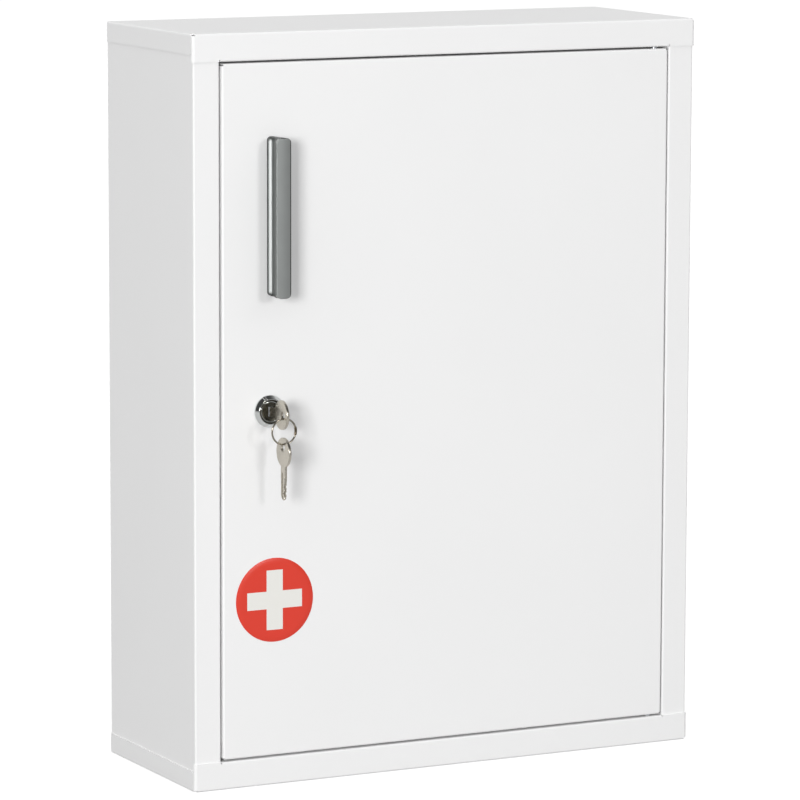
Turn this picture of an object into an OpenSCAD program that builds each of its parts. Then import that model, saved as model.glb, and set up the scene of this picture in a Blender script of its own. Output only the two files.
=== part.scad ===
// Lockable medicine cabinet: a wall cabinet of folded, powder-coated sheet steel with one door.
// Frame: +Z up, the front faces -Y. The origin is the centre of the flat back, which meets the wall.
// Left and right are as seen from the front, so the hinge side is +X and the lock side is -X.

/* [Cabinet] */
// Overall width, over the side skirts of the caps
cabinet_w = 343; // [300:1:400]
// Overall height, over both caps
cabinet_h = 457; // [420:1:600]
// Overall depth, from the wall to the rails' front face
cabinet_d = 127; // [115:1:180]
// Thickness of the sheet steel
steel_t = 0.8; // [0.6:0.1:1.0]
// Inner radius of every fold in the sheet
fold_r = 0.4; // [0.3:0.1:0.6]

/* [Carcass] */
// Width of the front stiles, from the cabinet's side to the door opening
stile_w = 18; // [14:0.5:22]
// Height of the caps' front rails
rail_h = 17; // [15:0.5:22]
// Height of the caps' side skirts
skirt_h = 12.4; // [8:0.2:14]
// Depth of the ledge that each rail folds inwards to
ledge_d = 20; // [16:1:24]
// Height of the hem at the back of the ledge
hem_h = 6; // [3:0.5:8]
// Height of the caps' flange inside the back panel
back_flange_h = 12; // [8:1:16]
// Width of the stop lip on the lock-side stile
stop_lip_w = 8; // [6:0.5:10]
// Depth of the hinge-side stile's return
hinge_return_d = 19; // [15:1:24]
// Open seam between a rail's end and the skirt beside it
seam = 0.4; // [0.3:0.1:0.8]
// Radius of the skirt's lower front corner
skirt_corner_r = 1.5; // [1:0.25:3]

/* [Wall holes] */
// Spacing of the wall holes across the cabinet
wall_hole_dx = 220; // [160:5:240]
// Spacing of the wall holes up the cabinet
wall_hole_dz = 380; // [340:5:390]
// Diameter of the wall holes
wall_hole_dia = 6; // [4:0.5:8]

/* [Shelves] */
// Height of the shelves above and below the middle
shelf_z = 76; // [50:1:100]
// Depth of a shelf, front to back
shelf_d = 98; // [80:1:98]
// Height of a shelf's front edge
shelf_edge_h = 12; // [8:1:18]
// Height of a shelf's upstand at the back
shelf_upstand_h = 8; // [5:1:12]
// Side clearance of a shelf in the shell
shelf_gap = 0.5; // [0.3:0.1:1.5]
// Width of a runner's legs
runner_leg = 10; // [8:1:14]
// Length of a runner
runner_l = 86; // [60:1:90]

/* [Door] */
// Gap all round the closed door
door_gap = 1.2; // [1:0.1:1.6]
// Thickness of the door pan
door_d = 15; // [13:0.5:16]
// Width of the lips folded in at the back of the pan
door_lip_w = 8; // [6:0.5:10]
// Air between the closed door and the stop lip
stop_gap = 0.4; // [0.3:0.1:0.8]

/* [Hinge pins] */
// Distance of the hinge axis from the door's edge
hinge_in = 7.4; // [7:0.1:9]
// Distance of the hinge axis behind the door's face
hinge_back = 4.4; // [4.2:0.1:4.8]
// Diameter of the hinge pins
hinge_pin_dia = 3; // [2.5:0.1:3.2]
// Running clearance of a pin in its bush, on the radius
pin_clear = 0.03; // [0.02:0.01:0.08]
// Outer diameter of the bushes, where they pass through the ledge
bush_dia = 5; // [4.8:0.1:5.2]
// Diameter of the bushes' flange
bush_flange_dia = 6.2; // [5.8:0.1:6.2]
// Height of the bushes' flange
bush_flange_h = 1.2; // [0.8:0.1:2]
// Length of a pin beyond the ledge
pin_reach = 3; // [2:0.25:5]
// Diameter of the pins' collar in the door gap
pin_collar_dia = 4.2; // [3.8:0.1:4.8]
// End play of the collar under its bush
pin_play = 0.1; // [0.05:0.05:0.2]
// Diameter of the pins' riveted head inside the door
pin_head_dia = 5.6; // [4.5:0.1:5.8]
// Height of the riveted head
pin_head_h = 1.4; // [1:0.1:2]

/* [Handle] */
// Distance of the handle's middle from the door's left edge
handle_in = 32.6; // [28:0.2:45]
// Distance of the handle's middle below the door's upper edge
handle_down = 91.8; // [85:0.1:110]
// Length of the handle
handle_l = 95.8; // [84:0.2:130]
// How far the handle stands out of the door
handle_out = 17; // [14:0.5:22]
// Width of the front flange
handle_flange_w = 9.9; // [9:0.1:12]
// Width of the foot on the door
handle_foot_w = 6.6; // [6:0.1:8]
// Width of the waist between them
handle_waist_w = 4.6; // [4.2:0.1:5.4]
// Thickness of the foot
handle_foot_t = 1.5; // [1:0.1:2.5]
// Thickness of the front flange
handle_flange_t = 1.5; // [1:0.1:2.5]
// Corner radius of the front flange, seen from the front
handle_corner_r = 3.2; // [1.5:0.1:4]
// Radius of the front flange's long edges
handle_edge_r = 0.5; // [0.2:0.1:0.7]
// Flat land between the groove and the flange's long edges
handle_rim_land = 0.4; // [0.2:0.1:0.8]
// Spacing of the two screws
handle_screw_pitch = 64; // [48:1:76]
// Thread diameter of the handle's screws
handle_screw_dia = 3; // [2.5:0.5:3]
// Depth of the threaded holes in the handle
handle_hole_depth = 9; // [8:0.5:11]

/* [Lock] */
// Distance of the lock's axis from the door's left edge
lock_in = 30.7; // [30:0.1:40]
// Height of the lock's axis above the middle of the cabinet
lock_z = 0.9; // [-30:0.1:30]
// Diameter of the lock's bezel
bezel_dia = 19.7; // [19:0.1:24]
// How far the bezel stands out of the door
bezel_out = 3; // [2.5:0.1:4]
// Width of the bezel's flat ring
bezel_ring_w = 0.9; // [0.6:0.1:1.5]
// Diameter of the bezel's mouth
bezel_mouth_dia = 14.8; // [14:0.1:15.2]
// Width of the index mark across the bezel's bevel
index_w = 0.8; // [0.4:0.1:1.2]
// Diameter of the lock's barrel
barrel_dia = 16; // [15.4:0.1:17]
// Distance across the barrel's two flats
barrel_flats = 14; // [13:0.1:15]
// Diameter of the plug's bore
plug_bore_dia = 10.6; // [10:0.1:11]
// Diameter of the plug's head
plug_head_dia = 11.7; // [11.2:0.1:12]
// Running clearance of the plug, on the radius
plug_clear = 0.05; // [0.03:0.01:0.08]
// Air between the barrel's end and the stop washer, and between loose-stacked pieces
stack_gap = 0.1; // [0.05:0.05:0.2]
// Distance across the nut's flats
nut_flats = 20; // [19:0.5:24]
// Thickness of the nut
nut_t = 4; // [3:0.5:6]
// Thickness of the washer under the nut
lock_washer_t = 1; // [0.6:0.1:1.5]

/* [Cam] */
// Length of the cam, from the lock's axis to its tip
cam_l = 33; // [29:0.5:36]
// Width of the cam's arm
cam_w = 12; // [9:0.5:14]
// Thickness of the cam
cam_t = 2; // [1.5:0.1:3]
// Width of the plug's square tang
tang_w = 7; // [6:0.1:7.2]
// Clearance of the square holes on the tang, each side
tang_clear = 0.1; // [0.05:0.05:0.2]
// Thickness of the stop washer
stop_washer_t = 1; // [0.6:0.1:1.4]
// Turn between the unlocked and the locked position
lock_turn = 90; // [80:5:100]
// Thread diameter of the cam's screw
cam_screw_dia = 4; // [3:0.5:4]
// Length of the cam's screw under its head
cam_screw_l = 5; // [4:0.5:5]
// Thickness of the spring washer under the screw's head
spring_washer_t = 1; // [0.8:0.1:1.4]

/* [Keys] */
// Thickness of the keys
key_t = 1.7; // [1.4:0.1:2.1]
// Height of the blade
blade_h = 5; // [4.6:0.1:5.6]
// Length of the blade that goes into the door, behind its face
blade_in = 11.4; // [10.8:0.1:12.5]
// Height of the neck between blade and bow
neck_h = 7.2; // [6.6:0.1:8]
// Distance of the bow's outer end from the door's face
bow_end = 26.5; // [25:0.1:32]
// Diameter of the bow
bow_dia = 17.8; // [16:0.2:20]
// Diameter of the hole in the bow
bow_hole_dia = 5; // [4:0.1:5.4]
// Distance of the hole's middle from the bow's outer end
bow_hole_in = 6; // [5.5:0.1:7]
// Clearance of the key in its keyway, each side
keyway_clear = 0.15; // [0.1:0.01:0.2]
// Pitch of the wafers and of the cuts in the blade
wafer_pitch = 2.1; // [1.9:0.05:2.2]
// Depth of one step of the key's cuts
cut_step = 0.4; // [0.3:0.05:0.5]

/* [Key ring] */
// Diameter of the ring, on the middle of its wire
ring_dia = 15.6; // [15:0.1:20]
// Diameter of the ring's wire
ring_wire = 1.1; // [0.9:0.1:1.4]
// Diameter of the crimp that joins the wire's ends
crimp_dia = 1.7; // [1.5:0.1:2.2]
// Length of the crimp
crimp_l = 5; // [3:0.5:7]
// Air between the ring and the hole's edge that carries it
ring_rest = 0.1; // [0.05:0.05:0.2]

/* [Sticker] */
// Diameter of the first-aid sticker
sticker_dia = 51.5; // [40:0.5:60]
// Distance of the sticker's middle from the door's left edge
sticker_in = 34.2; // [32:0.2:60]
// Distance of the sticker's middle above the door's lower edge
sticker_up = 95.8; // [60:0.1:110]
// Thickness of the sticker
sticker_t = 0.2; // [0.1:0.05:0.3]

/* [Hidden] */
$fn = 64;

// A small overrun, so that a cut passes clean through a face.
over = 1;

// Colours
coat = [0.93, 0.93, 0.93];
inner_coat = [0.88, 0.88, 0.88];
zinc = [0.72, 0.73, 0.75];
chrome = [0.82, 0.83, 0.85];
satin = [0.53, 0.54, 0.54];
nickel = [0.75, 0.71, 0.66];
dark_zinc = [0.22, 0.21, 0.20];
brass = [0.78, 0.62, 0.30];
nylon = [0.90, 0.89, 0.85];
red = [0.87, 0.25, 0.20];

// Folded sheet
half_t = steel_t / 2;
fold_out = fold_r + steel_t;
fold_mid = fold_r + half_t;

// Carcass planes
top_z = cabinet_h / 2;
front_y = -cabinet_d;
skirt_x = cabinet_w / 2 - half_t;
shell_half_w = cabinet_w / 2 - steel_t;
shell_x = shell_half_w - half_t;
shell_front_y = front_y + steel_t;
shell_top_z = top_z - fold_out;
open_x = cabinet_w / 2 - stile_w;
open_z = top_z - rail_h;
rail_y = front_y + half_t;
ledge_z = open_z + half_t;
inner_x = shell_half_w - steel_t;
stop_y = front_y + door_d + stop_gap;
// The rail's ends lap round the stiles' front folds.
wrap_mid = fold_out + half_t;
wrap_end_y = rail_y + wrap_mid + half_t;
skirt_front_y = wrap_end_y + seam;
skirt_back_y = -fold_out - seam;
ledge_x = open_x - 0.3;
relief_w = 0.8;

// Door
door_half_w = open_x - door_gap;
door_half_h = open_z - door_gap;
door_left_x = -door_half_w;
door_back_y = front_y + door_d;
hinge_x = door_half_w - hinge_in;
hinge_y = front_y + hinge_back;
bush_hole_clear = 0.03;

// Handle
handle_x = door_left_x + handle_in;
handle_z = door_half_h - handle_down;
handle_foot_r = min(handle_corner_r, handle_foot_w / 2 - 0.2);
screw_clear = 0.05;
screw_end_gap = 1.2;
handle_screw_head_dia = 2 * handle_screw_dia;
handle_screw_head_h = 0.7 * handle_screw_dia;
screw_washer_dia = 2.6 * handle_screw_dia;
screw_washer_t = 0.8;
handle_screw_l = handle_hole_depth - screw_end_gap + steel_t + screw_washer_t;

// Lock, along its own axis: z runs outwards from the door's face, y is up
lock_x = door_left_x + lock_in;
barrel_end = -(door_d + stop_gap + steel_t);
plug_face = bezel_out - 1;
plug_seat = 0.5;
collar_w = 0.7;
groove_floor = 1;
index_depth = 0.5;
index_angle = 114;
stop_front = barrel_end - stack_gap;
stop_back = stop_front - stop_washer_t;
cam_front = stop_back;
cam_back = cam_front - cam_t;
tang_end = cam_back + 0.2;
washer_back = cam_back - spring_washer_t;
spring_washer_dia = 2.2 * cam_screw_dia;
spring_washer_split = 0.8;
cam_screw_head_dia = 2.1 * cam_screw_dia;
cam_screw_head_h = 0.65 * cam_screw_dia;
stop_washer_r = barrel_dia / 2 - 0.4;
stop_lug_half = 13;
stop_lug_inner_r = plug_bore_dia / 2 + 0.5;
stop_slack = 3;
nut_front = -steel_t - lock_washer_t;

// Wafers stand across the keyway, one at each cut of the key
wafer_t = 0.9;
wafer_w = 6.6;
wafer_r = plug_bore_dia / 2 - plug_clear - 0.1;
wafer_first = -0.9;
wafer_slot_clear = 0.08;
key_cuts = [1, 3, 2, 4, 2];

// Key, drawn in its own plane: x runs outwards along the blade, y is up
bow_x = bow_end - bow_dia / 2;
hole_x = bow_end - bow_hole_in;
shoulder_x = plug_face + 0.4;
taper_x = shoulder_x + 6.2;
groove_w = 1.2;
groove_depth = 0.5;
groove_y = 0.8;
groove_end_x = shoulder_x + 2.4;

// Ring: its top lies on the bow's hole, its bottom carries the spare key
ring_y = front_y - hole_x;
ring_top_z = lock_z - bow_hole_dia / 2 + ring_wire / 2 + ring_rest;
ring_z = ring_top_z - ring_dia / 2;
spare_hole_z = ring_z - ring_dia / 2 + ring_wire / 2 + ring_rest - bow_hole_dia / 2;

// ---------- folded sheet, drawn edge-on ----------

function unit(v) = v / norm(v);

// A flat stretch of sheet between two points of its mid-plane.
module flat_strip(from, to) {
    dir = to - from;
    translate(from) rotate(atan2(dir[1], dir[0])) translate([0, -half_t])
        square([norm(dir), steel_t]);
}

// A quarter-round fold at `corner`, coming in along `dir_in` and leaving along `dir_out`.
module fold_2d(corner, dir_in, dir_out, r) {
    centre = corner - r * dir_in + r * dir_out;
    reach = r + steel_t;
    intersection() {
        translate(centre) difference() {
            circle(r + half_t);
            circle(r - half_t);
        }
        polygon([centre, centre + reach * dir_in, centre + reach * (dir_in - dir_out),
                 centre - reach * dir_out]);
    }
}

// Sheet that follows the square-cornered route `pts` along its mid-plane and folds at each corner.
module folded_2d(pts, r = fold_mid) {
    last = len(pts) - 1;
    for (i = [0:last - 1]) {
        dir = unit(pts[i + 1] - pts[i]);
        flat_strip(pts[i] + dir * (i == 0 ? 0 : r), pts[i + 1] - dir * (i == last - 1 ? 0 : r));
    }
    for (i = [1:last - 1])
        fold_2d(pts[i], unit(pts[i] - pts[i - 1]), unit(pts[i + 1] - pts[i]), r);
}

// Carries a (y, z) section along x, an (x, z) section along y, an (x, y) section along z.
module along_x(x0, x1) { translate([x0, 0, 0]) rotate([90, 0, 90]) linear_extrude(x1 - x0) children(); }
module along_y(y0, y1) { translate([0, y1, 0]) rotate([90, 0, 0]) linear_extrude(y1 - y0) children(); }
module along_z(z0, z1) { translate([0, 0, z0]) linear_extrude(z1 - z0) children(); }

module both_sides() {
    children();
    mirror([1, 0, 0]) children();
}

// ---------- carcass ----------

// One sheet wraps the back, both sides and both front stiles.
module cabinet_shell() {
    color(coat) difference() {
        along_z(-shell_top_z, shell_top_z) folded_2d([
            [-open_x + stop_lip_w, stop_y + half_t],
            [-open_x - half_t, stop_y + half_t],
            [-open_x - half_t, shell_front_y + half_t],
            [-shell_x, shell_front_y + half_t],
            [-shell_x, -half_t],
            [shell_x, -half_t],
            [shell_x, shell_front_y + half_t],
            [open_x + half_t, shell_front_y + half_t],
            [open_x + half_t, front_y + hinge_return_d]
        ]);
        // the stop lip ends short of the rails' ledges
        for (side = [-1, 1])
            translate([-open_x + stop_lip_w / 2, stop_y, side * (open_z + rail_h / 2 - over / 2)])
                cube([stop_lip_w + over, 3 * steel_t, rail_h + over], center = true);
        for (x = [-1, 1], z = [-1, 1])
            translate([x * wall_hole_dx / 2, over, z * wall_hole_dz / 2]) rotate([90, 0, 0])
                cylinder(d = wall_hole_dia, h = steel_t + 2 * over);
    }
}

// The cap's side skirt, with its lower front corner rounded.
module skirt() {
    difference() {
        along_y(skirt_front_y, skirt_back_y)
            folded_2d([[open_x, top_z - half_t], [skirt_x, top_z - half_t], [skirt_x, top_z - skirt_h]]);
        translate([skirt_x, skirt_front_y, top_z - skirt_h]) along_x(-over, over) difference() {
            translate([-over, -over]) square(skirt_corner_r + over);
            translate([skirt_corner_r, skirt_corner_r]) circle(skirt_corner_r);
        }
    }
}

// The rail's end, which laps round the stile's front fold.
module rail_end() {
    along_z(open_z, top_z - fold_out) folded_2d([
        [ledge_x + relief_w, rail_y],
        [skirt_x, rail_y],
        [skirt_x, wrap_end_y]
    ], wrap_mid);
}

// A folded tray: top plate, front rail with its ledge and hem, side skirts and back flange.
module cap() {
    back_y = -steel_t - half_t;
    plate_end_x = skirt_x - wrap_mid;
    difference() {
        union() {
            along_x(-plate_end_x, plate_end_x) folded_2d([
                [back_y, top_z - back_flange_h],
                [back_y, top_z - half_t],
                [rail_y, top_z - half_t],
                [rail_y, open_z + fold_out]
            ]);
            along_x(-ledge_x, ledge_x) folded_2d([
                [rail_y, top_z - rail_h / 2],
                [rail_y, ledge_z],
                [front_y + ledge_d - half_t, ledge_z],
                [front_y + ledge_d - half_t, ledge_z + hem_h]
            ]);
            both_sides() skirt();
            both_sides() rail_end();
        }
        translate([hinge_x, hinge_y, open_z - over])
            cylinder(d = bush_dia + 2 * bush_hole_clear, h = steel_t + 2 * over);
    }
}

module top_cap() { color(coat) cap(); }
module bottom_cap() { color(coat) mirror([0, 0, 1]) cap(); }

// ---------- shelves ----------

shelf_back_y = -steel_t - shelf_gap;
shelf_front_y = shelf_back_y - shelf_d;

module shelf(z) {
    half_w = inner_x - shelf_gap;
    top = z - half_t;
    color(inner_coat) along_x(-half_w, half_w) folded_2d([
        [shelf_front_y + half_t, z - shelf_edge_h],
        [shelf_front_y + half_t, top],
        [shelf_back_y - half_t, top],
        [shelf_back_y - half_t, z + shelf_upstand_h]
    ]);
}

// An angle spot-welded to the side wall. Its upper leg carries the shelf.
module runner(z) {
    leg_z = z - 1.5 * steel_t;
    color(inner_coat) along_y(shelf_back_y - steel_t - runner_l, shelf_back_y - steel_t) folded_2d([
        [inner_x - runner_leg, leg_z],
        [inner_x - half_t, leg_z],
        [inner_x - half_t, leg_z - runner_leg]
    ]);
}

module upper_shelf() { shelf(shelf_z); }
module lower_shelf() { shelf(-shelf_z); }
module upper_right_runner() { runner(shelf_z); }
module lower_right_runner() { runner(-shelf_z); }
module upper_left_runner() { mirror([1, 0, 0]) runner(shelf_z); }
module lower_left_runner() { mirror([1, 0, 0]) runner(-shelf_z); }

// ---------- hinge ----------

// A flanged nylon bush in the rail's ledge, open side of the flange inside the rail.
module hinge_bush() {
    translate([hinge_x, hinge_y, 0]) difference() {
        union() {
            translate([0, 0, open_z]) cylinder(d = bush_dia, h = steel_t + bush_flange_h);
            translate([0, 0, open_z + steel_t]) cylinder(d = bush_flange_dia, h = bush_flange_h);
        }
        translate([0, 0, open_z - over])
            cylinder(d = hinge_pin_dia + 2 * pin_clear, h = steel_t + bush_flange_h + 2 * over);
    }
}

// A shoulder pin riveted into the door's edge: head, shank, collar in the gap, journal in the bush.
module hinge_pin() {
    head_z = door_half_h - steel_t - pin_head_h;
    translate([hinge_x, hinge_y, 0]) {
        translate([0, 0, head_z]) cylinder(d = pin_head_dia, h = pin_head_h);
        translate([0, 0, head_z]) cylinder(d = hinge_pin_dia, h = open_z + steel_t + pin_reach - head_z);
        translate([0, 0, door_half_h]) cylinder(d = pin_collar_dia, h = door_gap - pin_play);
    }
}

module top_hinge_bush() { color(nylon) hinge_bush(); }
module bottom_hinge_bush() { color(nylon) mirror([0, 0, 1]) hinge_bush(); }
module top_hinge_pin() { color(zinc) hinge_pin(); }
module bottom_hinge_pin() { color(zinc) mirror([0, 0, 1]) hinge_pin(); }

// ---------- door ----------

// The barrel's outline: a round with two flats, so that it can't turn in its hole.
module barrel_2d(clear = 0) {
    intersection() {
        circle(d = barrel_dia + 2 * clear);
        square([barrel_flats + 2 * clear, barrel_dia + 2 * over], center = true);
    }
}

module on_lock_axis() { translate([lock_x, front_y, lock_z]) rotate([90, 0, 0]) children(); }

module at_handle_screws() {
    for (side = [-1, 1])
        translate([handle_x, front_y, handle_z + side * handle_screw_pitch / 2])
            rotate([90, 0, 0]) children();
}

// A pan: the front plate with a flange on each edge, and a lip folded in behind each flange.
module door_panel() {
    plate_w = door_half_w - fold_out;
    plate_h = door_half_h - fold_out;
    side_x = door_half_w - half_t;
    side_z = door_half_h - half_t;
    lip_y = door_back_y - half_t;
    face_y = front_y + half_t;
    color(coat) difference() {
        union() {
            along_z(-plate_h, plate_h) folded_2d([
                [-side_x + door_lip_w, lip_y], [-side_x, lip_y], [-side_x, face_y],
                [side_x, face_y], [side_x, lip_y], [side_x - door_lip_w, lip_y]
            ]);
            for (side = [0, 1]) mirror([0, 0, side]) {
                // flange with its fold, as wide as the plate
                along_x(-plate_w, plate_w)
                    folded_2d([[face_y, plate_h - over], [face_y, side_z], [door_back_y - fold_out, side_z]]);
                // lip, cut back at both ends to clear the side lips
                along_x(-side_x + door_lip_w + relief_w, side_x - door_lip_w - relief_w)
                    folded_2d([
                        [door_back_y - 2 * fold_out, side_z], [lip_y, side_z],
                        [lip_y, side_z - door_lip_w]
                    ]);
            }
        }
        // the side lips are cut back at their ends to clear the top and bottom flanges
        for (x = [-1, 1], z = [-1, 1])
            translate([x * (door_half_w - door_lip_w), door_back_y, z * door_half_h])
                cube([2 * door_lip_w - 2 * fold_out, 3 * fold_out, 2 * (fold_out + relief_w)], center = true);
        translate([hinge_x, hinge_y, -top_z]) cylinder(d = hinge_pin_dia, h = 2 * top_z);
        on_lock_axis() translate([0, 0, -steel_t - over]) linear_extrude(steel_t + 2 * over) barrel_2d(0.1);
        at_handle_screws() translate([0, 0, -steel_t - over])
            cylinder(d = handle_screw_dia + 0.4, h = steel_t + 2 * over);
    }
}

module first_aid_sticker() {
    color(red) translate([door_left_x + sticker_in, front_y, sticker_up - door_half_h]) rotate([90, 0, 0])
        cylinder(d = sticker_dia, h = sticker_t);
}

// ---------- handle ----------

module rounded_bar_2d(w, l, r) {
    square([w - 2 * r, l], center = true);
    square([w, l - 2 * r], center = true);
    for (x = [-1, 1], y = [-1, 1])
        translate([x * (w / 2 - r), y * (l / 2 - r)]) circle(r);
}

// Centre of the circle of radius r through p and q, on the right-hand side of p to q.
function arc_centre(p, q, r) =
    let (m = (p + q) / 2, d = q - p, h = sqrt(r * r - d * d / 4))
    m + h * [d[1], -d[0]] / norm(d);

// Half the section is a concave groove for the fingertips: y is the distance out of the door.
module handle_web_2d() {
    foot = [handle_foot_w / 2 - handle_rim_land / 2, handle_foot_t];
    rim = [handle_flange_w / 2 - handle_rim_land, handle_out - handle_flange_t];
    chord = norm(rim - foot);
    sagitta = (foot[0] + rim[0] - handle_waist_w) / 2;
    groove_r = (chord * chord / 4 + sagitta * sagitta) / (2 * sagitta);
    groove_centre = arc_centre(foot, rim, groove_r);
    difference() {
        translate([-rim[0], foot[1]]) square([2 * rim[0], rim[1] - foot[1]]);
        both_sides() translate(groove_centre) circle(groove_r, $fn = 180);
    }
}

module handle() {
    flange_y = handle_out - handle_flange_t;
    color(satin) translate([handle_x, front_y, handle_z]) difference() {
        union() {
            rotate([90, 0, 0]) linear_extrude(handle_foot_t)
                rounded_bar_2d(handle_foot_w, handle_l, handle_foot_r);
            intersection() {
                along_z(-handle_l / 2, handle_l / 2) mirror([0, 1]) handle_web_2d();
                rotate([90, 0, 0]) linear_extrude(handle_out)
                    rounded_bar_2d(handle_flange_w, handle_l, handle_corner_r);
            }
            intersection() {
                along_z(-handle_l / 2, handle_l / 2) mirror([0, 1]) translate([0, flange_y])
                    flange_2d();
                rotate([90, 0, 0]) linear_extrude(handle_out + over)
                    rounded_bar_2d(handle_flange_w, handle_l, handle_corner_r);
            }
        }
        for (side = [-1, 1]) translate([0, over, side * handle_screw_pitch / 2]) rotate([90, 0, 0])
            cylinder(d = handle_screw_dia + 2 * screw_clear, h = handle_hole_depth + over);
    }
}

// The front flange's section: square at the back, with rounded edges at the front.
module flange_2d() {
    w = handle_flange_w;
    translate([-w / 2, 0]) square([w, handle_flange_t - handle_edge_r]);
    translate([-w / 2 + handle_edge_r, 0]) square([w - 2 * handle_edge_r, handle_flange_t]);
    both_sides() translate([w / 2 - handle_edge_r, handle_flange_t - handle_edge_r]) circle(handle_edge_r);
}

// A pan-head screw with a cross recess: its head lies below z = 0 and its shank runs up from there.
module pan_screw(dia, len, head_dia, head_h) {
    difference() {
        union() {
            translate([0, 0, -head_h]) cylinder(d = head_dia, h = head_h);
            translate([0, 0, -head_h]) cylinder(d = dia, h = head_h + len);
        }
        for (turn = [0, 90]) rotate(turn)
            translate([0, 0, -head_h]) cube([head_dia / 2, dia / 4, head_h], center = true);
    }
}

module handle_screws() {
    color(zinc) at_handle_screws() translate([0, 0, -steel_t - screw_washer_t])
        pan_screw(handle_screw_dia, handle_screw_l, handle_screw_head_dia, handle_screw_head_h);
}

module handle_washers() {
    color(zinc) at_handle_screws() translate([0, 0, -steel_t - screw_washer_t]) difference() {
        cylinder(d = screw_washer_dia, h = screw_washer_t);
        translate([0, 0, -over])
            cylinder(d = handle_screw_dia + 4 * screw_clear, h = screw_washer_t + 2 * over);
    }
}

// ---------- lock ----------

// Body: a bevelled bezel outside the door, and a barrel with two flats through it.
module lock_body() {
    collar_r = plug_head_dia / 2 + plug_clear;
    mouth_r = bezel_mouth_dia / 2;
    bezel_r = bezel_dia / 2;
    bevel_r = mouth_r + bezel_ring_w;
    bevel_out = bezel_out / 3;
    color(chrome) on_lock_axis() {
        difference() {
            rotate_extrude() polygon([
                [collar_r, plug_seat],
                [plug_bore_dia / 2, plug_seat],
                [plug_bore_dia / 2, 0],
                [bezel_r, 0],
                [bezel_r, bevel_out],
                [bevel_r, bezel_out],
                [mouth_r, bezel_out],
                [mouth_r, groove_floor],
                [collar_r + collar_w, groove_floor],
                [collar_r + collar_w, bezel_out - 0.4],
                [collar_r, bezel_out - 0.4]
            ]);
            // index mark, its floor parallel to the bevel
            rotate(index_angle) rotate([90, 0, 0]) linear_extrude(index_w, center = true) polygon([
                [bevel_r, bezel_out - index_depth],
                [bezel_r + over, bevel_out - index_depth
                    - over * (bezel_out - bevel_out) / (bezel_r - bevel_r)],
                [bezel_r + over, bezel_out + over],
                [bevel_r, bezel_out + over]
            ]);
        }
        difference() {
            translate([0, 0, barrel_end]) linear_extrude(-barrel_end) barrel_2d();
            translate([0, 0, barrel_end - over]) cylinder(d = plug_bore_dia, h = -barrel_end + 2 * over);
        }
        // lug on the barrel's end, which stops the plug at both ends of its turn
        translate([0, 0, barrel_end - stop_washer_t]) linear_extrude(stop_washer_t + over)
            ring_sector_2d(stop_lug_inner_r, barrel_flats / 2 - 0.2, -stop_lug_half, stop_lug_half);
    }
}

// Part of a flat ring between two angles less than 180 degrees apart.
module ring_sector_2d(r_in, r_out, from, to) {
    far = 2 * r_out;
    mid = (from + to) / 2;
    intersection() {
        difference() {
            circle(r_out);
            circle(r_in);
        }
        polygon([[0, 0], far * [cos(from), sin(from)], far * [cos(mid), sin(mid)], far * [cos(to), sin(to)]]);
    }
}

module lock_washer() {
    color(zinc) on_lock_axis() translate([0, 0, nut_front]) difference() {
        cylinder(d = nut_flats + 0.5, h = lock_washer_t);
        translate([0, 0, -over]) cylinder(d = barrel_dia + 0.3, h = lock_washer_t + 2 * over);
    }
}

module lock_nut() {
    color(zinc) on_lock_axis() translate([0, 0, nut_front - nut_t]) difference() {
        cylinder(d = nut_flats / cos(30), h = nut_t, $fn = 6);
        translate([0, 0, -over]) cylinder(d = barrel_dia + 0.1, h = nut_t + 2 * over);
    }
}

// Plug: head, drum with the keyway and a slot for each wafer, and a square tang for the cam.
module lock_plug() {
    drum_r = plug_bore_dia / 2 - plug_clear;
    keyway_w = key_t + 2 * keyway_clear;
    keyway_h = blade_h + 2 * keyway_clear;
    keyway_end = -blade_in - 0.5;
    slot_t = wafer_t + 2 * wafer_slot_clear;
    color(dark_zinc) on_lock_axis() difference() {
        union() {
            translate([0, 0, plug_seat + 0.05]) cylinder(d = plug_head_dia, h = plug_face - plug_seat - 0.05);
            translate([0, 0, barrel_end]) cylinder(r = drum_r, h = plug_face - barrel_end - over);
            translate([-tang_w / 2, -tang_w / 2, tang_end]) cube([tang_w, tang_w, barrel_end - tang_end]);
        }
        difference() {
            translate([-keyway_w / 2, -keyway_h / 2, keyway_end])
                cube([keyway_w, keyway_h, plug_face - keyway_end + over]);
            // ward that runs in the blade's groove
            translate([-keyway_w / 2 - over, groove_y - groove_w / 2 + keyway_clear, keyway_end - over])
                cube([groove_depth + over, groove_w - 2 * keyway_clear, plug_face - keyway_end + 3 * over]);
        }
        for (i = [0:len(key_cuts) - 1])
            translate([0, 0, wafer_first - i * wafer_pitch])
                cube([wafer_w + 2 * wafer_slot_clear, 2 * plug_bore_dia, slot_t], center = true);
        translate([0, 0, tang_end - over])
            cylinder(d = cam_screw_dia + 2 * screw_clear, h = cam_screw_l + over);
    }
}

// Flat wafers, one in each slot. The key passes through a window in each.
module lock_wafers() {
    color(brass) on_lock_axis() for (i = [0:len(key_cuts) - 1])
        translate([0, 0, wafer_first - i * wafer_pitch - wafer_t / 2]) linear_extrude(wafer_t) difference() {
            intersection() {
                circle(wafer_r);
                square([wafer_w, 4 * wafer_r], center = true);
            }
            square([key_t + 2 * keyway_clear, blade_h + 2 * keyway_clear], center = true);
        }
}

// The stop washer turns with the plug. Its cut-out leaves the lug the lock's quarter turn.
module stop_washer() {
    hole_w = tang_w + 2 * tang_clear;
    color(zinc) on_lock_axis() translate([0, 0, stop_back]) linear_extrude(stop_washer_t) difference() {
        circle(stop_washer_r);
        square(hole_w, center = true);
        ring_sector_2d(stop_lug_inner_r - 0.2, barrel_dia, -stop_lug_half - stop_slack,
                       lock_turn + stop_lug_half + stop_slack);
    }
}

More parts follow.
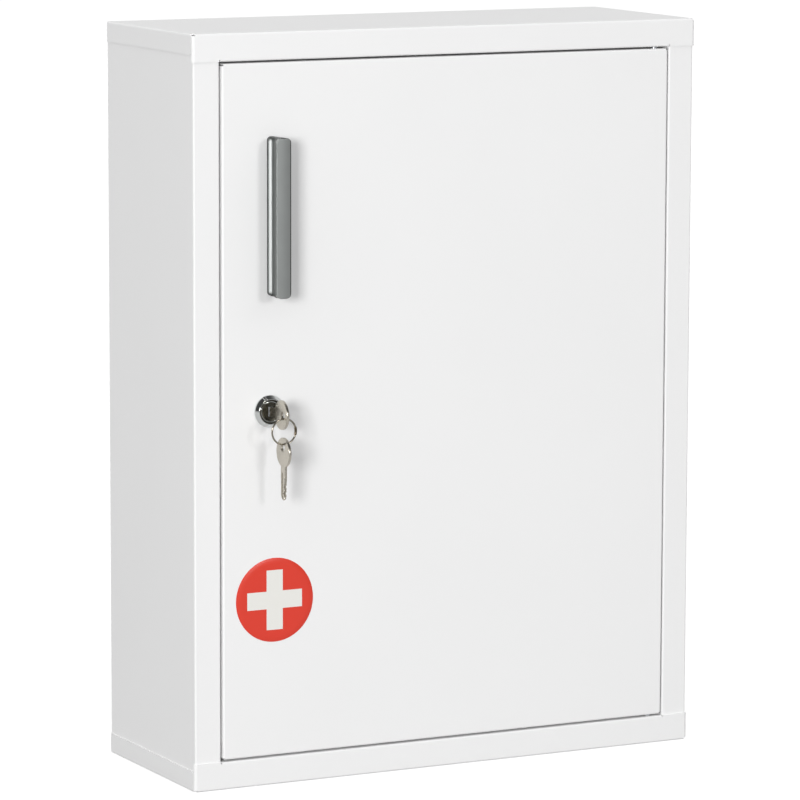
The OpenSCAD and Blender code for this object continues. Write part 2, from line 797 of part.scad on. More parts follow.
// The cam hangs down when unlocked and swings behind the stop lip when locked.
module lock_cam() {
    tip_r = cam_w / 2;
    color(zinc) on_lock_axis() translate([0, 0, cam_back]) linear_extrude(cam_t) difference() {
        union() {
            circle(stop_washer_r);
            translate([-tip_r, -cam_l + tip_r]) square([cam_w, cam_l - tip_r]);
            translate([0, -cam_l + tip_r]) circle(tip_r);
        }
        square(tang_w + 2 * tang_clear, center = true);
    }
}

// A split spring washer under the cam's screw.
module cam_spring_washer() {
    color(zinc) on_lock_axis() translate([0, 0, washer_back]) difference() {
        cylinder(d = spring_washer_dia, h = spring_washer_t);
        translate([0, 0, -over])
            cylinder(d = cam_screw_dia + 4 * screw_clear, h = spring_washer_t + 2 * over);
        translate([0, -spring_washer_split / 2, -over])
            cube([spring_washer_dia, spring_washer_split, spring_washer_t + 2 * over]);
    }
}

module cam_screw() {
    color(zinc) on_lock_axis() translate([0, 0, washer_back])
        pan_screw(cam_screw_dia, cam_screw_l, cam_screw_head_dia, cam_screw_head_h);
}

// ---------- keys ----------

// Where the line from p, above the axis, touches the upper side of the circle at c with radius r.
function tangent_point(p, c, r) =
    let (v = p - c, a = acos(r / norm(v)), base = atan2(v[1], v[0]))
    c + r * [cos(base - a), sin(base - a)];

// One V-shaped cut in the blade's lower edge.
module key_cut(depth) {
    polygon([[-depth - 0.35, -over], [-depth - 0.35, 0], [-0.35, depth], [0.35, depth],
             [depth + 0.35, 0], [depth + 0.35, -over]]);
}

// The key's outline: blade with a rounded tip, a neck whose shoulder stops at the plug, a round bow.
module key_outline() {
    half_h = blade_h / 2;
    bow_c = [bow_x, 0];
    touch = tangent_point([taper_x, neck_h / 2], bow_c, bow_dia / 2);
    flat() translate([-blade_in + half_h, -half_h]) square([taper_x + blade_in - half_h, blade_h]);
    flat() translate([-blade_in + half_h, 0]) circle(half_h);
    flat() translate([shoulder_x, -neck_h / 2]) square([bow_x - shoulder_x, neck_h]);
    flat() polygon([[taper_x, neck_h / 2], touch, [touch[0], -touch[1]], [taper_x, -neck_h / 2]]);
    flat() translate(bow_c) circle(bow_dia / 2);
}

module flat() { linear_extrude(key_t, center = true) children(); }

// A cut key lying flat on z = 0, with a milled groove along one side of the blade.
module flat_key() {
    difference() {
        key_outline();
        for (i = [0:len(key_cuts) - 1])
            translate([wafer_first - i * wafer_pitch, -blade_h / 2, -key_t]) linear_extrude(2 * key_t)
                key_cut(key_cuts[i] * cut_step);
        translate([hole_x, 0, -key_t]) cylinder(d = bow_hole_dia, h = 2 * key_t);
        translate([-blade_in - over, groove_y - groove_w / 2, key_t / 2 - groove_depth])
            cube([blade_in + over + groove_end_x, groove_w, groove_depth + over]);
    }
}

// Along the lock's axis, in the upright plane, cuts down.
module lock_key() {
    color(nickel) translate([lock_x, front_y, lock_z]) rotate([90, 0, -90]) flat_key();
}

// Hanging on the ring by its bow, blade down, cuts outwards.
module spare_key() {
    color(nickel) translate([lock_x, ring_y, spare_hole_z - hole_x]) rotate([0, -90, 0]) flat_key();
}

module key_ring() {
    crimp_half = crimp_l / ring_dia * 180 / PI;
    color(nickel) translate([lock_x, ring_y, ring_z]) rotate([90, 0, 0]) {
        rotate_extrude() translate([ring_dia / 2, 0]) circle(d = ring_wire, $fn = 24);
        rotate([0, 0, -crimp_half]) rotate_extrude(angle = 2 * crimp_half)
            translate([ring_dia / 2, 0]) circle(d = crimp_dia, $fn = 24);
    }
}

// ---------- nodes ----------

cabinet_shell();
top_cap();
bottom_cap();
upper_shelf();
lower_shelf();
upper_left_runner();
upper_right_runner();
lower_left_runner();
lower_right_runner();
top_hinge_bush();
bottom_hinge_bush();
door_panel();
top_hinge_pin();
bottom_hinge_pin();
handle();
handle_screws();
handle_washers();
first_aid_sticker();
lock_body();
lock_washer();
lock_nut();
lock_plug();
lock_wafers();
stop_washer();
lock_cam();
cam_spring_washer();
cam_screw();
lock_key();
key_ring();
spare_key();
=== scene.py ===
# %% [markdown]
# # A lockable medicine cabinet
# The cabinet is folded from thin sheet steel and powder coated white. It has one door on two pins, a
# satin handle, a chromed cam lock with its key in it, and a spare key on a small wire ring.
#
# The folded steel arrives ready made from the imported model, in metres, with the wall side of the
# cabinet on y = 0 and the door facing -Y. This lesson dresses it: it mixes the finishes, sweeps and
# turns the small parts that the eye stops at, and builds a quiet studio around them.

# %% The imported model
import math

import bmesh
import bpy
import numpy as np
from mathutils import Matrix, Vector


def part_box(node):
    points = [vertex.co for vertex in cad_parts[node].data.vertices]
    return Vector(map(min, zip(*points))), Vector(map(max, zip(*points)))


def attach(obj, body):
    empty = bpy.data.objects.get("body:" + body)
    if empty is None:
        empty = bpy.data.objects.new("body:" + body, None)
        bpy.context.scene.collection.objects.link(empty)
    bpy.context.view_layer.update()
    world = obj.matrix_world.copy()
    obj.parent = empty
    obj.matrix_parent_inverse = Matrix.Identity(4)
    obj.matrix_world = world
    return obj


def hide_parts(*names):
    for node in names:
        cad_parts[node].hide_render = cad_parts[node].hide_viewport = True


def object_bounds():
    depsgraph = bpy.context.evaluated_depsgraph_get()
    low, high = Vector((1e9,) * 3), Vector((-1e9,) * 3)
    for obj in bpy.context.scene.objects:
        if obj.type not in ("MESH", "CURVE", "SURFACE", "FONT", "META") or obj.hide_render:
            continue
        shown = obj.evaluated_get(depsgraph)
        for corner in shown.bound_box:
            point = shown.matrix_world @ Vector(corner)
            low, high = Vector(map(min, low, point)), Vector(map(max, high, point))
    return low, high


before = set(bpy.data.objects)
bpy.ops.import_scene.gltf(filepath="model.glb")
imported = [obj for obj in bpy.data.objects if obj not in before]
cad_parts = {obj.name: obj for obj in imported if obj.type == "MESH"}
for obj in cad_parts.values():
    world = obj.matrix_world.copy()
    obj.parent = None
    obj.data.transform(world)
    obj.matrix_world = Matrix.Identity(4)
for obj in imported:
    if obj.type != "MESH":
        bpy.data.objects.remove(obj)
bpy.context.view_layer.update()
MM = 0.001

# %% [markdown]
# ## Where things are
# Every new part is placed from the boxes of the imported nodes, never from a guess. The door's face is
# the plane that the handle, the lock and the sticker stand on. The lock's own axis points out of the
# door, so a small helper turns (right, up, out) millimetres on an axis into room coordinates.

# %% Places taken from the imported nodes
def node_box(node):
    """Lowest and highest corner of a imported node, as arrays in millimetres."""
    low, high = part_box(node)
    return np.array(low) / MM, np.array(high) / MM


DOOR_FACE = node_box("door_panel")[0][1]
lock_low, lock_high = node_box("lock_nut")
LOCK = np.array([(lock_low[0] + lock_high[0]) / 2, DOOR_FACE, (lock_low[2] + lock_high[2]) / 2])


def on_axis(points, centre):
    """(right, up, out) mm about a door point -> room: x = cx + right, y = cy - out, z = cz + up."""
    right, up, out = points[..., 0], points[..., 1], points[..., 2]
    return np.stack([centre[0] + right, centre[1] - out, centre[2] + up], axis=-1)


print("door face at y =", round(DOOR_FACE, 2), "mm, lock at", LOCK.round(2))

# %% [markdown]
# ## Colours and nodes
# Colours are written as sRGB hex values, as on a paint chart, and one function turns them to the
# linear values that a shader works in. One more function adds a node with its settings and its links,
# so a material reads as a short list.

# %% Colour and node helpers
def linear(hex_colour):
    """sRGB hex -> linear RGBA: c / 12.92 below 0.04045, else ((c + 0.055) / 1.055) ** 2.4."""
    c = np.array([int(hex_colour[i:i + 2], 16) for i in (1, 3, 5)]) / 255
    rgb = np.where(c <= 0.04045, c / 12.92, ((c + 0.055) / 1.055) ** 2.4)
    return (*rgb.tolist(), 1.0)


def add_node(tree, kind, links=None, **settings):
    """A node of that kind. Settings name attributes or sockets; links give a socket a source or a value."""
    node = tree.nodes.new(kind)
    for key, value in settings.items():
        socket = node.inputs.get(key.replace("_", " ").title().replace("Ior", "IOR"))
        if hasattr(node, key):
            setattr(node, key, value)
        elif socket is not None:
            socket.default_value = value
        else:
            raise KeyError(f"{kind} has no {key}")
    for socket, source in (links or {}).items():
        if isinstance(source, bpy.types.NodeSocket):
            tree.links.new(source, node.inputs[socket])
        else:
            node.inputs[socket].default_value = source
    return node


def new_finish(name, **shader):
    """An empty node material with a Principled shader; returns (material, tree, shader node)."""
    finish = bpy.data.materials.new(name)
    finish.use_nodes = True
    tree = finish.node_tree
    tree.nodes.clear()
    principled = add_node(tree, "ShaderNodeBsdfPrincipled", **shader)
    add_node(tree, "ShaderNodeOutputMaterial", {"Surface": principled.outputs["BSDF"]})
    return finish, tree, principled


def finish_nodes(finish, nodes):
    """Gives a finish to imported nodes, in place of the one that they arrive with."""
    for node in nodes:
        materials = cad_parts[node].data.materials
        materials.clear()
        materials.append(finish)
    print(finish.name, "on", ", ".join(nodes))


print("mid grey #808080 is", round(linear("#808080")[0], 3), "in linear light")

# %% [markdown]
# ## Patterns
# A pattern is worked out from a point's place on the object, in metres, so its scale is one over its
# real size. Every finish below does the same with its patterns: a fine grain spreads the roughness and
# gives a relief of a real depth, and a wide cloud mixes two near tones.

# %% Pattern helpers
def object_place(tree, stretch=(1, 1, 1)):
    """Object coordinates times a stretch: a pattern is squeezed along an axis where that is large."""
    coordinates = add_node(tree, "ShaderNodeTexCoord")
    mapping = add_node(tree, "ShaderNodeMapping", {"Vector": coordinates.outputs["Object"]}, scale=stretch)
    return mapping.outputs["Vector"]


def cycles_per_metre(size_mm):
    """Texture scale of a pattern whose features repeat every size_mm."""
    return 1 / (size_mm * MM)


def dress(tree, shader, grain, rough, relief_mm, strength=1.0):
    """A grain of 0 to 1 gives roughness = low + (high - low) grain, and a relief of relief_mm by Bump."""
    spread = add_node(tree, "ShaderNodeMapRange", {"Value": grain, "To Min": rough[0], "To Max": rough[1]})
    bump = add_node(tree, "ShaderNodeBump", {"Height": grain}, strength=strength, distance=relief_mm * MM)
    tree.links.new(spread.outputs["Result"], shader.inputs["Roughness"])
    tree.links.new(bump.outputs["Normal"], shader.inputs["Normal"])


def overlaid(tree, base, *layers):
    """Colour after each layer (mask, colour): c = (1 - mask) c + mask colour. Returns its source.

    A Mix node has sockets for numbers, vectors and colours; its colours are 6 and 7, and 2 coming out.
    """
    for mask, colour in layers:
        base = add_node(tree, "ShaderNodeMix", {0: mask, 6: base, 7: colour}, data_type="RGBA").outputs[2]
    return base


print("a grain of 0.35 mm repeats", round(cycles_per_metre(0.35)), "times in a metre")

# %% [markdown]
# ## Powder-coated sheet steel
# The sheet is sprayed with a charged epoxy-polyester powder and baked. The melt pulls itself into a
# faint orange peel, with swells about 2 mm apart and a few hundredths of a millimetre high, and that
# gives the eye a soft, even sheen instead of a mirror. The coat is off-white and very slightly uneven
# over a hand's width. Paint has an IOR near 1.5, and the baked film is semi-gloss. The peel is far too
# low to be worth faces, so it is a relief in the shader.

# %% Powder coat
def powder_coat(name, light, shade, peel_mm=2.2):
    """A coat whose two near whites cloud together, and whose peel varies its roughness and relief."""
    coat, tree, shader = new_finish(name, roughness=0.38, ior=1.5)
    place = object_place(tree)
    cloud = add_node(tree, "ShaderNodeTexNoise", {"Vector": place}, scale=cycles_per_metre(90), detail=2.0)
    peel = add_node(tree, "ShaderNodeTexNoise", {"Vector": place}, scale=cycles_per_metre(peel_mm),
                    detail=1.5, roughness=0.45)
    tone = overlaid(tree, linear(light), (cloud.outputs["Fac"], linear(shade)))
    tree.links.new(tone, shader.inputs["Base Color"])
    dress(tree, shader, peel.outputs["Fac"], (0.33, 0.43), 0.035, strength=0.6)
    return coat


outer_coat = powder_coat("powder_coat_baked_white", "#F2F2F2", "#EFEFEF")
inner_coat = powder_coat("powder_coat_baked_inside", "#EEEEED", "#EAEBEA")
finish_nodes(outer_coat, ["cabinet_shell", "top_cap", "bottom_cap", "door_panel"])
finish_nodes(inner_coat, ["upper_shelf", "lower_shelf", "upper_left_runner", "upper_right_runner",
                          "lower_left_runner", "lower_right_runner"])

# %% [markdown]
# ## Plated metals
# The handle is die-cast and plated satin nickel: brushed along its length, so its grain is fine lines
# a few tenths of a millimetre apart. The lock is bright chrome over polished zinc, nearly a mirror.
# The plug is dark; its finish also paints shade in the lock's groove. The keys are nickel-plated brass,
# tumbled, so they keep small soft scratches. Screws, nut, cam and washers are bright zinc plate with a
# faint bluish cloud. They differ only in tone, gloss and grain, so one function makes them all.

# %% Plated metal finishes
def plated_metal(name, light, shade, rough, grain_mm, grain_stretch, relief_mm, cloud_mm=9.0):
    """A metal whose colour clouds, and whose grain varies its roughness and its relief."""
    metal, tree, shader = new_finish(name, metallic=1.0, roughness=rough[0])
    grain = add_node(tree, "ShaderNodeTexNoise", {"Vector": object_place(tree, grain_stretch)},
                     scale=cycles_per_metre(grain_mm), detail=3.0, roughness=0.6)
    cloud = add_node(tree, "ShaderNodeTexNoise", {"Vector": object_place(tree)},
                     scale=cycles_per_metre(cloud_mm), detail=2.0)
    tone = overlaid(tree, linear(light), (cloud.outputs["Fac"], linear(shade)))
    tree.links.new(tone, shader.inputs["Base Color"])
    dress(tree, shader, grain.outputs["Fac"], rough, relief_mm)
    return metal


satin_nickel = plated_metal("satin_nickel_brushed", "#A2A5A4", "#9A9D9C", (0.36, 0.46), 0.35,
                            (1, 1, 0.06), 0.002)
bright_chrome = plated_metal("chrome_plate_polished", "#DCDEDD", "#D4D6D5", (0.05, 0.10), 0.5,
                             (1, 1, 1), 0.001)
# This dark finish also serves as painted shade in the housing's groove and index mark.
dark_plug_and_painted_shade = plated_metal("zinc_dark_and_painted_shade", "#55534A", "#3B3A33", (0.18, 0.34), 0.8, (1, 1, 1), 0.05)
key_nickel = plated_metal("nickel_plate_tumbled", "#C9C4B9", "#BDB7AB", (0.20, 0.34), 0.45,
                          (1, 1, 1), 0.006)
ring_steel = plated_metal("nickel_wire_drawn", "#A9A397", "#8E887C", (0.10, 0.20), 0.3, (1, 1, 1), 0.004)
sleeve_brass = plated_metal("brass_sleeve_browned", "#6E6353", "#4F4538", (0.18, 0.30), 0.5, (1, 1, 1), 0.01)
zinc_plate = plated_metal("zinc_plate_bright", "#C9CBCF", "#BFC3CA", (0.22, 0.36), 0.7, (1, 1, 1), 0.006)
stamped_brass = plated_metal("brass_stamped", "#CFAE6A", "#BF9B55", (0.22, 0.34), 0.5, (1, 1, 1), 0.004)
finish_nodes(zinc_plate, ["handle_screws", "handle_washers", "lock_washer", "lock_nut", "stop_washer",
                          "lock_cam", "cam_spring_washer", "cam_screw", "top_hinge_pin",
                          "bottom_hinge_pin"])
finish_nodes(stamped_brass, ["lock_wafers"])
finish_nodes(dark_plug_and_painted_shade, ["lock_plug"])

# %% [markdown]
# ## Moulded nylon
# The two hinge bushes are injection-moulded nylon: matt and warm white. The fine grain of the mould
# shows only as a soft highlight. Their colour is the same all over, so it is set on the shader itself.

# %% Nylon bushes
nylon, nylon_tree, nylon_shader = new_finish("nylon_moulded_natural", base_color=linear("#E9E6DC"),
                                             roughness=0.5, ior=1.53)
nylon_grain = add_node(nylon_tree, "ShaderNodeTexNoise", {"Vector": object_place(nylon_tree)},
                       scale=cycles_per_metre(0.6), detail=2.0)
dress(nylon_tree, nylon_shader, nylon_grain.outputs["Fac"], (0.45, 0.58), 0.01)
finish_nodes(nylon, ["top_hinge_bush", "bottom_hinge_bush"])

# %% [markdown]
# ## Surfaces as grids
# Each part below is one or more grids of points, worked out with numpy as whole arrays. A turned part
# is a profile carried round an axis, and a wire is a circle carried along a path. `grid_faces` lists
# the four corners of each cell, and a direction that closes on itself gets one more row of cells.

# %% Faces of a grid
def grid_faces(rows, columns, rows_close=False, columns_close=False, first=0):
    """Cell (i, j) joins points (i, j), (i+1, j), (i+1, j+1), (i, j+1); a closed direction wraps round."""
    i, j = np.meshgrid(np.arange(rows - (not rows_close)), np.arange(columns - (not columns_close)),
                       indexing="ij")
    i_next, j_next = (i + 1) % rows, (j + 1) % columns
    corners = [i * columns + j, i_next * columns + j, i_next * columns + j_next, i * columns + j_next]
    return first + np.stack(corners, axis=-1).reshape(-1, 4)


print("a tube of 3 x 4 points has", len(grid_faces(3, 4, columns_close=True)), "faces")

# %% [markdown]
# ## From grids to a piece
# The grids of a piece share their borders, so `add_piece` welds the border points, turns the faces
# outwards together, and shades the surface smooth except across its real edges. A closed piece then
# has no open edge, which is counted and printed.

# %% A piece from its grids
WELD_MM = 0.0005


def add_piece(name, grids, body, finish, replaced=None, edge_angle=35.0):
    """One mesh from grids of (points in mm, rows close, columns close), riding on a body."""
    points, faces, count = [], [], 0
    for grid, rows_close, columns_close in grids:
        points.append(grid.reshape(-1, 3) * MM)
        faces.append(grid_faces(grid.shape[0], grid.shape[1], rows_close, columns_close, count))
        count += grid.shape[0] * grid.shape[1]
    mesh = bpy.data.meshes.new(name)
    mesh.from_pydata(np.concatenate(points).tolist(), [], np.concatenate(faces).tolist())
    shell = bmesh.new()
    shell.from_mesh(mesh)
    bmesh.ops.remove_doubles(shell, verts=shell.verts, dist=WELD_MM * MM)
    bmesh.ops.dissolve_degenerate(shell, edges=shell.edges, dist=WELD_MM * MM)
    bmesh.ops.recalc_face_normals(shell, faces=shell.faces)
    open_edges = sum(1 for edge in shell.edges if not edge.is_manifold)
    shell.to_mesh(mesh)
    shell.free()
    mesh.shade_smooth()
    mesh.set_sharp_from_angle(angle=math.radians(edge_angle))
    piece = bpy.data.objects.new(name, mesh)
    bpy.context.scene.collection.objects.link(piece)
    mesh.materials.append(finish)
    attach(piece, body)
    if replaced:
        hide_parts(replaced)
    print(f"{name}: {len(mesh.polygons)} faces, {open_edges} open edges")
    return piece

# %% [markdown]
# ## The handle's section
# A die-cast bar stands on the door on a narrow foot. Both long sides are hollowed for the fingertips,
# and the front flange is a little crowned. One half of the section is enough: the foot's edge, a slope
# that looks to the front, a small fillet, one long arc up the web to the flange, and the flange's
# rounded edge. The slope mirrors the lamp as a bright band, which is what makes the hollow readable.
# Two hollows could be cut from a bar, but a section leaves clean rows of faces for the highlights.

# %% Handle section
handle_low, handle_high = node_box("handle")
HANDLE = np.array([(handle_low[0] + handle_high[0]) / 2, DOOR_FACE,
                   (handle_low[2] + handle_high[2]) / 2])
HANDLE_HALF_W = (handle_high[0] - handle_low[0]) / 2
HANDLE_HALF_L = (handle_high[2] - handle_low[2]) / 2
HANDLE_OUT = handle_high[1] - handle_low[1]
FOOT_HALF_W, FOOT_T, FOOT_EDGE_R = 3.3, 2.2, 0.4
FOOT_TILT, FOOT_FILLET, FOOT_REBATE = math.radians(53), 0.45, 0.15
WAIST_HALF_W, FLANGE_T, FLANGE_LAND, FLANGE_EDGE_R, CROWN = 1.75, 1.5, 0.35, 0.6, 0.25


def arc(radius, start, stop, steps):
    """Arc (r cos t, r sin t) between two angles, as rows of (half width, out) about its own centre."""
    t = np.linspace(start, stop, steps)
    return np.stack([radius * np.cos(t), radius * np.sin(t)], axis=1)


def handle_section():
    """Half section from the foot's middle to the flange's middle, as rows of (half width, out).

    The side's arc leaves the waist upright and meets the flange: r = (length^2 + depth^2) / (2 depth).
    """
    rim, rim_out = HANDLE_HALF_W - FLANGE_LAND, HANDLE_OUT - FLANGE_T
    foot = np.array([[0, 0], [FOOT_HALF_W - FOOT_REBATE, 0], [FOOT_HALF_W - FOOT_REBATE, 0.3],
                     [FOOT_HALF_W, 0.5]])
    lip = arc(FOOT_EDGE_R, 0, FOOT_TILT, 5) + [FOOT_HALF_W - FOOT_EDGE_R, FOOT_T]
    bend_half = WAIST_HALF_W + FOOT_FILLET * (1 - math.cos(FOOT_TILT))
    slope_out = lip[-1, 1] + (lip[-1, 0] - bend_half) / math.tan(FOOT_TILT)
    waist_out = slope_out + FOOT_FILLET * math.sin(FOOT_TILT)
    bend = arc(-FOOT_FILLET, FOOT_TILT, 0, 7) + [WAIST_HALF_W + FOOT_FILLET, waist_out]
    depth, length = rim - WAIST_HALF_W, rim_out - waist_out
    side_r = (length ** 2 + depth ** 2) / (2 * depth)
    side = arc(side_r, math.pi, math.pi - math.asin(length / side_r), 24)[1:]
    side += [WAIST_HALF_W + side_r, waist_out]
    under = np.array([[HANDLE_HALF_W - 0.08, rim_out], [HANDLE_HALF_W, rim_out + 0.1]])
    flat_half = HANDLE_HALF_W - FLANGE_EDGE_R
    nose_out = HANDLE_OUT - CROWN * (flat_half / HANDLE_HALF_W) ** 2
    nose = arc(FLANGE_EDGE_R, 0, math.pi / 2, 7) + [flat_half, nose_out - FLANGE_EDGE_R]
    across = np.linspace(nose[-1, 0], 0, 10)[1:]
    top = np.stack([across, HANDLE_OUT - CROWN * (across / HANDLE_HALF_W) ** 2], axis=1)
    return np.concatenate([foot, lip, bend, side, under, nose, top])


half_section = handle_section()
section = np.concatenate([half_section, half_section[::-1][1:-1] * [-1, 1]])
print("handle section:", len(section), "points,", round(HANDLE_OUT, 1), "mm out from the door")

# %% [markdown]
# ## The handle's bar
# The section is carried along the bar's length. Near both ends the width is clipped to a rounded
# outline, wide for the flange and narrow for the foot: at a distance d into the corner, the outline
# stands w - r + sqrt(r^2 - d^2) from the middle. The last bit of each end draws in, which softens its
# edge, and a flat cap closes it.

# %% Handle bar
FLANGE_CORNER_R, FOOT_CORNER_R, END_SOFT, END_SOFT_L = 3.2, 2.8, 0.22, 0.3
end_turn = np.linspace(0, math.pi / 2, 9)
end_rise = HANDLE_HALF_L - FLANGE_CORNER_R * (1 - np.sin(end_turn))
stations = np.concatenate([-end_rise[::-1], np.linspace(-end_rise[0], end_rise[0], 40)[1:-1], end_rise])
flange_side = section[:, 1] > HANDLE_OUT / 2
corner_r = np.where(flange_side, FLANGE_CORNER_R, FOOT_CORNER_R)
corner_half = np.where(flange_side, HANDLE_HALF_W, FOOT_HALF_W)
into_corner = np.maximum(np.abs(stations)[:, None] - (HANDLE_HALF_L - corner_r), 0)
allowed = corner_half - corner_r + np.sqrt(np.maximum(corner_r ** 2 - into_corner ** 2, 0))
near_end = np.clip((np.abs(stations) - (HANDLE_HALF_L - END_SOFT_L)) / END_SOFT_L, 0, 1)
soften = END_SOFT * near_end ** 2
width = np.clip(section[None, :, 0], -allowed, allowed)
width = np.sign(width) * np.maximum(np.abs(width) - soften[:, None], 0)
out = np.clip(section[None, :, 1], 0, (HANDLE_OUT - soften)[:, None])
bar = np.stack([width, np.broadcast_to(stations[:, None], width.shape), out], axis=-1)


def end_cap(ring):
    """Closes a section: each point runs level to the section's middle plane, so the cap is flat."""
    flat = ring.copy()
    flat[:, 0] = 0
    return np.stack([ring, flat])


handle_grids = [(on_axis(grid, HANDLE), False, True) for grid in (bar, end_cap(bar[0]), end_cap(bar[-1]))]
handle_piece = add_piece("bar_handle", handle_grids, "door", satin_nickel, "handle")

# %% [markdown]
# ## Masks
# A mask is 1 where a second tone lies and 0 elsewhere, with soft edges between. It is worked out from
# a point's place, or from its distance to a middle line, in metres. A place such as the web lies within
# all of its edges, and one mask can stand for several places.

# %% Mask helpers
def place_of(tree):
    """The separate X, Y and Z of a point on the object, in metres."""
    coordinates = add_node(tree, "ShaderNodeTexCoord")
    return add_node(tree, "ShaderNodeSeparateXYZ", {"Vector": coordinates.outputs["Object"]}).outputs


def off_middle(tree, place, middle_mm):
    """Distance of a point from a middle line, in metres: |p - m|."""
    shifted = add_node(tree, "ShaderNodeMath", {0: place, 1: middle_mm * MM}, operation="SUBTRACT")
    return add_node(tree, "ShaderNodeMath", {0: shifted.outputs[0]}, operation="ABSOLUTE").outputs[0]


def joined(tree, operation, values):
    """Values joined two by two: MULTIPLY is 1 where all masks are, and MAXIMUM where any is."""
    result = values[0]
    for value in values[1:]:
        result = add_node(tree, "ShaderNodeMath", {0: result, 1: value}, operation=operation).outputs[0]
    return result


def soft_mask(tree, *places, unit=1.0):
    """Largest of the places' masks; a place's mask is the product of smooth steps over its edges.

    An edge (p, p0, p1) gives t^2 (3 - 2t), where t goes from 0 at p0 to 1 at p1.
    """
    masks = []
    for edges in places:
        steps = [add_node(tree, "ShaderNodeMapRange",
                          {"Value": place, "From Min": dark_at * unit, "From Max": light_at * unit},
                          interpolation_type="SMOOTHSTEP") for place, dark_at, light_at in edges]
        masks.append(joined(tree, "MULTIPLY", [step.outputs["Result"] for step in steps]))
    return joined(tree, "MAXIMUM", masks)


print("a mask's 5 mm is", 5 * MM, "m in the shader")

# %% [markdown]
# ## Painted shade on the handle
# The nickel's colour is darkened as painted shade and painted dark reflections on the foot's low edge,
# on the flange's rims, at the ends, and in the web, which gets darker towards the flange. Near the foot
# the web is painted lighter, a painted highlight. The shader finds these places from the point's
# distance to the bar's middle and to the door.

# %% Painted shade in the handle's hollows
PAINTED_SHADE_NICKEL, WEB_PAINTED_LIGHT_NICKEL = "#5C5F5E", "#C0C3C2"
WEB_HALF_W, WEB_FADE, WEB_PAINTED_LIGHT_OUT, WEB_PAINTED_SHADE_OUT = 1.8, 0.8, 2.5, 7.6
LOW_FADE, FLANGE_MARGIN, FLANGE_FADE, END_HOLLOW_L = 0.3, 0.2, 0.4, 3.0


def paint_shade_on_handle(finish):
    """Paints shade, and a lighter web, into the base colour by masks in x (across), y (out) and z (along),
    in mm.
    """
    tree = finish.node_tree
    colour = tree.nodes["Principled BSDF"].inputs["Base Color"]
    base_tone = colour.links[0].from_socket
    x, y, z = place_of(tree)
    left, right = HANDLE[0] - HANDLE_HALF_W, HANDLE[0] + HANDLE_HALF_W
    web_left, web_right = HANDLE[0] - WEB_HALF_W, HANDLE[0] + WEB_HALF_W
    flange_back = DOOR_FACE - HANDLE_OUT + FLANGE_T + FLANGE_MARGIN
    along = off_middle(tree, z, HANDLE[2])
    behind_flange = (y, flange_back, flange_back + FLANGE_FADE)
    web = soft_mask(tree, [(x, web_left - WEB_FADE, web_left), (x, web_right + WEB_FADE, web_right),
                           behind_flange], unit=MM)
    web_shade_ramp = soft_mask(tree, [(y, DOOR_FACE - WEB_PAINTED_LIGHT_OUT, DOOR_FACE - WEB_PAINTED_SHADE_OUT)], unit=MM)
    low_edge = [(y, DOOR_FACE - FOOT_T - LOW_FADE, DOOR_FACE - FOOT_T)]
    left_rim, right_rim = [(x, left + 0.25, left + 0.1)], [(x, right - 1.0, right - 0.8)]
    end_face = [(along, HANDLE_HALF_L - 0.35, HANDLE_HALF_L - 0.15)]
    end_hollow = [behind_flange, (along, HANDLE_HALF_L - END_HOLLOW_L, HANDLE_HALF_L - 1)]
    # Painted shade: the foot's low edge, the flange's rims, the ends and the end hollows are darkened.
    painted_shade_mask = soft_mask(tree, low_edge, left_rim, right_rim, end_face, end_hollow, unit=MM)
    # The web is painted lighter near the foot, and painted darker towards the flange.
    painted_web_colour = overlaid(tree, linear(WEB_PAINTED_LIGHT_NICKEL), (web_shade_ramp, linear(PAINTED_SHADE_NICKEL)))
    tree.links.new(overlaid(tree, base_tone, (web, painted_web_colour), (painted_shade_mask, linear(PAINTED_SHADE_NICKEL))), colour)
    print(finish.name, "now has", len(tree.nodes), "nodes")


paint_shade_on_handle(satin_nickel)

# %% [markdown]
# ## Profiles and finishes of a part
# A profile with eased corners keeps a thin bright line on every edge, as real castings do. Turning it
# about the lock's axis gives the round parts. Where a part has two finishes, such as a groove painted
# dark as shade in a chromed face, the faces are picked by where their centres lie.

# %% Turned profiles and second finishes
def eased(corners, ease, steps=5):
    """A closed outline with each corner c eased: B(t) = (1-t)^2 p + 2t(1-t) c + t^2 q, p and q near c."""
    corners = np.asarray(corners, float)
    back = np.roll(corners, 1, axis=0) - corners
    ahead = np.roll(corners, -1, axis=0) - corners
    reach_back = np.linalg.norm(back, axis=1, keepdims=True)
    reach_ahead = np.linalg.norm(ahead, axis=1, keepdims=True)
    ease = np.minimum(np.broadcast_to(np.reshape(ease, (-1, 1)), reach_back.shape),
                      0.45 * np.minimum(reach_back, reach_ahead))
    p = (corners + back / reach_back * ease)[:, None]
    q = (corners + ahead / reach_ahead * ease)[:, None]
    t = np.linspace(0, 1, steps)[None, :, None]
    curve = (1 - t) ** 2 * p + 2 * t * (1 - t) * corners[:, None] + t ** 2 * q
    return curve.reshape(-1, corners.shape[1])


def turned(profile, angles):
    """A profile of (radius, out) rows turned about the axis: right = r cos a, up = r sin a."""
    radius, out = profile[:, 0][:, None], profile[:, 1][:, None]
    return np.stack([radius * np.cos(angles), radius * np.sin(angles), out + 0 * angles], axis=-1)


def second_finish(piece, finish, middle, picks):
    """Gives a second finish to the faces whose centre (right, out, up) from a middle is picked."""
    mesh = piece.data
    mesh.materials.append(finish)
    centres = np.empty(len(mesh.polygons) * 3)
    mesh.polygons.foreach_get("center", centres)
    right, back_in, up_in = (centres.reshape(-1, 3) / MM - middle).T
    chosen = picks(right, -back_in, up_in)
    mesh.polygons.foreach_set("material_index", chosen.astype(np.int32))
    print(piece.name, "second finish on", int(chosen.sum()), "faces")


print("a square eased by 1 of 10 mm has", len(eased([[0, 0], [10, 0], [10, 10], [0, 10]], 1.0)), "points")

